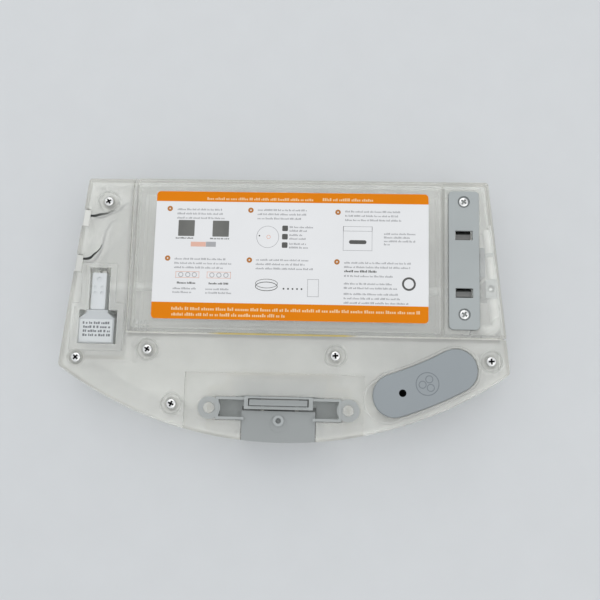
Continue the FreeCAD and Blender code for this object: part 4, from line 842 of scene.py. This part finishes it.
@dataclass
class PlugSkin:
    """The soft plug as one piece.

    Attributes:
        path_radius: Radius of the plug's centre line, about the rim's centre.
        half_width: Half of the pad's width.
        edge: Rounding of the pad's upper edge.
        bend: Half length of the stretch that bends.
        start_x: Middle of the pad's round left end.
        end_x: Middle of the pad's round right end.
        vent_x: Middle of the vent hole.
        vent: Radius of the vent hole.
        icon_x: Middle of the moulded mark.
        thick: Thickness of the pad.
    """

    path_radius: float = 0.1613
    half_width: float = 0.0097
    # bend: Half length of the stretch that bends; not used.
    edge: float = 0.0007
    bend: float = 0.0035
    start_x: float = 0.0504
    end_x: float = 0.0772
    vent_x: float = 0.05385
    vent: float = 0.00165
    icon_x: float = 0.0647
    thick: float = 0.0021

    def __post_init__(self) -> None:
        self.low, self.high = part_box("plug_anchor")
        self.flap_low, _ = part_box("fill_plug")
        joint = next(j for j in frame["joints"] if j["name"] == "plug_fold")
        self.hinge = Vector(joint["pos_m"])
        self.along = Vector(joint["axis"]).cross(UP)
        self.centre_y = self.hinge.y + math.sqrt(self.path_radius ** 2 - self.hinge.x ** 2)
        self.top = self.high.z
        self.seat = self.top - self.thick

    def point(self, x: float) -> Vector:
        """The point of the centre line at this x."""
        return Vector((x, self.centre_y - math.sqrt(self.path_radius ** 2 - x ** 2), 0.0))

    def profile(self) -> list[tuple[float, float]]:
        """Half section of the pad, from its top middle round to its bottom middle."""
        curve = [(self.half_width - self.edge * (1 - math.sin(a)), self.top - self.edge * (1 - math.cos(a)))
                 for a in (math.radians(22.5 * k) for k in range(5))]
        return [(0.0, self.top), *curve, (self.half_width, self.seat), (0.0, self.seat)]

    def pad(self) -> bpy.types.Object:
        """The slot-shaped pad: two swept halves and two round ends."""
        bm = bmesh.new()
        centre = Vector((0.0, self.centre_y, 0.0))
        start, end = self.point(self.start_x), self.point(self.end_x)
        out = (start - centre).normalized()
        turn = out.angle((end - centre).normalized())
        for side in (1.0, -1.0):
            verts = [bm.verts.new(centre + out * (self.path_radius + side * r) + UP * z)
                     for r, z in self.profile()]
            edges = [bm.edges.new(pair) for pair in zip(verts, verts[1:])]
            bmesh.ops.spin(bm, geom=verts + edges, cent=centre, axis=UP, angle=turn, steps=44)
        lathe(bm, self.profile(), start, -math.pi, 28, out)
        lathe(bm, self.profile(), end, math.pi, 28, (end - centre).normalized())
        bmesh.ops.remove_doubles(bm, verts=bm.verts, dist=2e-6)
        return finish_mesh(bm, "plug_skin", Look.PLUG, True)

    def stems(self) -> bpy.types.Object:
        """The hollow stem under the vent and the barbed one at the fixed end."""
        bm = bmesh.new()
        seat, tip = self.seat + 0.0004, self.flap_low.z
        lathe(bm, [(0.0065, seat), (0.0053, tip), (0.0036, tip), (0.0048, seat)], self.point(self.vent_x))
        low = self.low.z
        lathe(bm, [(0.0024, seat), (0.0024, self.seat - 0.00175), (0.0034, self.seat - 0.00175), (0.0012, low),
                   (0.0, low)], self.point(self.end_x), steps=24)
        return finish_mesh(bm, "plug_stems", Look.PLUG, True)

    def open_vent(self, pad: bpy.types.Object) -> None:
        """Cuts the vent hole through the pad; its walls take the painted hole shade."""
        bm = bmesh.new()
        made = bmesh.ops.create_cone(bm, cap_ends=True, segments=32, radius1=self.vent, radius2=self.vent,
                                     depth=0.01)
        at = self.point(self.vent_x)
        bmesh.ops.translate(bm, vec=(at.x, at.y, self.seat), verts=made["verts"])
        tool = finish_mesh(bm, "vent_tool", Look.HOLE)
        cut_out(pad, tool)

    def valve(self) -> bpy.types.Object:
        """The valve disc at the bottom of the vent hole, near-black as painted shade of the hole's inside."""
        bm = bmesh.new()
        lathe(bm, [(0.0, self.seat - 0.0006), (0.0009, self.seat + 0.0004), (0.0016, self.seat + 0.0006),
                   (0.0047, self.seat + 0.0003), (0.0047, self.seat - 0.0002), (0.0, self.seat - 0.0009)],
              self.point(self.vent_x))
        return finish_mesh(bm, "plug_valve_painted_shade", Look.HOLE, True)

    def icon(self) -> bpy.types.Object:
        """Shallow moulded mark: a ring with three small loops in it, darker than the plug as painted shade of its
        lines.
        """
        bm = bmesh.new()
        at = self.point(self.icon_x)
        outer, loop, off = 0.0050, 0.00155, 0.0022
        width, rise = 0.00016, 0.00007
        rings = [(at, outer)]
        for turn in range(3):
            angle = math.radians(70.0 + 120.0 * turn)
            rings.append((at + Vector((math.cos(angle), math.sin(angle), 0.0)) * off, loop))
        for centre, radius in rings:
            lathe(bm, [(radius - width, self.top), (radius - width / 2, self.top + rise),
                       (radius + width / 2, self.top + rise), (radius + width, self.top)], centre, steps=40)
        return finish_mesh(bm, "plug_mark", Look.GROOVE, True)

    def build(self) -> None:
        """Makes the plug's pieces in place of the two nodes."""
        pad = self.pad()
        self.open_vent(pad)
        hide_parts("fill_plug", "plug_anchor")
        for obj in (pad, self.stems(), self.valve(), self.icon()):
            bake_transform(obj)


# The screws.

def part_boxes(node: str) -> list[tuple[Vector, Vector]]:
    """Finds the separate bodies inside one node.

    Args:
        node: Name of the node.

    Returns:
        The low and high corner of each body.
    """
    bm = bmesh.new()
    bm.from_mesh(frame["nodes"][node].data)
    bmesh.ops.remove_doubles(bm, verts=bm.verts, dist=1e-6)
    boxes = []
    left = set(bm.verts)
    while left:
        island, edge = set(), [left.pop()]
        while edge:
            vert = edge.pop()
            island.add(vert)
            for link in vert.link_edges:
                other = link.other_vert(vert)
                if other in left:
                    left.remove(other)
                    edge.append(other)
        boxes.append(tuple(Vector(pick(v.co[axis] for v in island) for axis in range(3))
                           for pick in (min, max)))
    bm.free()
    return boxes


@dataclass
class Screws:
    """Pan-head screws with a cross recess, in place of one node's plain ones.

    Attributes:
        node: The node that they replace.
        head: Height of the head.
        shank: Radius of the shank.
        reach: Length of the recess across the head.
        arm: Width of one arm of the recess.
        sink: Depth of the recess.
        inside: Finish of the recess, a painted shade darker than the head.
    """

    node: str
    head: float
    shank: float = 0.00125
    reach: float = 0.0034
    arm: float = 0.0010
    sink: float = 0.0008
    inside: Look = Look.HOLE

    def blank(self, low: Vector, high: Vector) -> bpy.types.Object:
        """The turned screw without its recess."""
        centre, top, rim = (low + high) / 2, high.z, (high.x - low.x) / 2
        seat = top - self.head
        crown = self.head * 0.5
        profile = [(0.0, top), (rim * 0.62, top - crown * 0.08), (rim * 0.84, top - crown * 0.35),
                   (rim * 0.96, top - crown * 0.75), (rim, top - crown * 1.2), (rim, seat), (self.shank, seat),
                   (self.shank, low.z + 0.0008), (0.0004, low.z), (0.0, low.z)]
        bm = bmesh.new()
        lathe(bm, profile, centre, steps=36)
        return finish_mesh(bm, self.node + "_turned", Look.SCREW, True)

    def recess(self, centre: Vector, top: float, turn: float) -> bpy.types.Object:
        """The cutter for the recess: two tapered arms and a point, whose finish paints the recess's shade."""
        bm = bmesh.new()
        place = Matrix.Translation((centre.x, centre.y, top))
        for quarter in (0.0, math.pi / 2):
            made = bmesh.ops.create_cube(bm, size=1.0)
            for vert in made["verts"]:
                vert.co *= 1.0 if vert.co.z > 0 else 0.6
                vert.co.z = self.sink if vert.co.z > 0 else -self.sink
            spread = Matrix.Rotation(turn + quarter, 4, "Z") @ Matrix.Diagonal((self.reach, self.arm, 1.0, 1.0))
            bmesh.ops.transform(bm, matrix=place @ spread, verts=made["verts"])
        bmesh.ops.create_cone(bm, cap_ends=True, segments=16, radius1=0.0002, radius2=self.arm * 0.95,
                              depth=self.sink * 2.2, matrix=place)
        return finish_mesh(bm, "recess_tool", self.inside)

    def build(self) -> None:
        """Makes all the screws of the node as one piece."""
        whole = bmesh.new()
        dice = random.Random(self.node)
        for low, high in sorted(part_boxes(self.node), key=lambda box: box[0].x):
            screw = self.blank(low, high)
            cut_out(screw, self.recess((low + high) / 2, high.z, dice.uniform(0.0, math.pi / 2)))
            whole.from_mesh(screw.data)
            bpy.data.objects.remove(screw)
        obj = finish_mesh(whole, self.node + "_dressed", Look.SCREW, True)
        obj.data.materials.append(self.inside.material)
        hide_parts(self.node)
        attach(obj, Body.TANK.value)


# Floor, light and camera.

@dataclass
class Studio:
    """Table, soft light and the camera of the photograph.

    Attributes:
        table: Half width of the table top.
        location: Place of the camera.
        forward: Way that it looks.
        upward: Its upright direction.
        lens: Focal length, in millimetres, on a sensor 36 mm wide.
        sky: Colour of the surroundings.
        glow: Strength of the surroundings.
    """

    table: float = 3.0
    location: Place = (0.02315, -0.0532, 0.3803)
    forward: Place = (-0.04287, 0.15734, -0.98661)
    upward: Place = (-0.01861, 0.98722, 0.15824)
    lens: float = 48.3
    sky: Colour = (0.95, 0.975, 1.0)
    glow: float = 0.88

    def floor(self) -> None:
        """A wide pale table top."""
        bm = bmesh.new()
        flat_rect(bm, -self.table, self.table, -self.table, self.table, 0.0)
        finish_mesh(bm, "table_top", Look.FLOOR)

    def camera(self) -> None:
        """The camera, placed and turned as in the photograph."""
        data = bpy.data.cameras.new("camera")
        data.lens = self.lens
        data.sensor_width = 36.0
        data.clip_start = 0.01
        obj = bpy.data.objects.new("camera", data)
        bpy.context.scene.collection.objects.link(obj)
        ahead = Vector(self.forward).normalized()
        right = ahead.cross(Vector(self.upward)).normalized()
        turn = Matrix((right, right.cross(ahead), -ahead)).transposed().to_4x4()
        obj.matrix_world = Matrix.Translation(self.location) @ turn
        bpy.context.scene.camera = obj

    def lamp(self, name: str, place: Place, size: float, power: float, colour: Colour) -> None:
        """One square soft light aimed at the tank.

        Args:
            name: Name of the light.
            place: Where it hangs.
            size: Length of its side.
            power: Its power, in watts.
            colour: Its colour.
        """
        data = bpy.data.lights.new(name, "AREA")
        data.shape = "SQUARE"
        data.size = size
        data.energy = power
        data.color = colour
        obj = bpy.data.objects.new(name, data)
        bpy.context.scene.collection.objects.link(obj)
        obj.location = place
        obj.rotation_euler = (-Vector(place)).to_track_quat("-Z", "Y").to_euler()

    def world(self) -> None:
        """Even pale surroundings."""
        scene = bpy.context.scene
        scene.world = bpy.data.worlds.new("room")
        scene.world.use_nodes = True
        background = scene.world.node_tree.nodes["Background"]
        background.inputs["Color"].default_value = (*self.sky, 1.0)
        background.inputs["Strength"].default_value = self.glow

    def build(self) -> None:
        """Sets up the whole studio."""
        self.floor()
        self.world()
        self.lamp("window", (-0.25, 1.0, 0.95), 1.4, 4.2, (1.0, 0.99, 0.97))
        self.lamp("fill", (0.7, -0.5, 1.1), 1.4, 3.0, (1.0, 0.98, 0.95))
        self.camera()
        bpy.context.scene.view_settings.view_transform = "Standard"


def main() -> None:
    """Builds the scene."""
    logging.basicConfig(level=logging.INFO)
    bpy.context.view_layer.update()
    dress_nodes()
    LabelPrint().build()
    PumpPrint().build()
    SeatLines().build()
    WireEnds().build()
    ButtonRing().build()
    Coil("button_springs", "button_press", Vector((0.0, 1.0, 0.0)), True).build()
    Coil("lock_spring", "lock_drop", Vector((0.0, 0.0, 1.0)), False).build()
    PlugSkin().build()
    Screws("cover_screws", 0.0015).build()
    # The plate screws' recesses take a paler painted shade than the cover screws'.
    Screws("plate_screws", 0.001, sink=0.0006, inside=Look.WORN).build()
    Studio().build()
    bpy.context.view_layer.update()


if __name__ == "__main__":
    main()
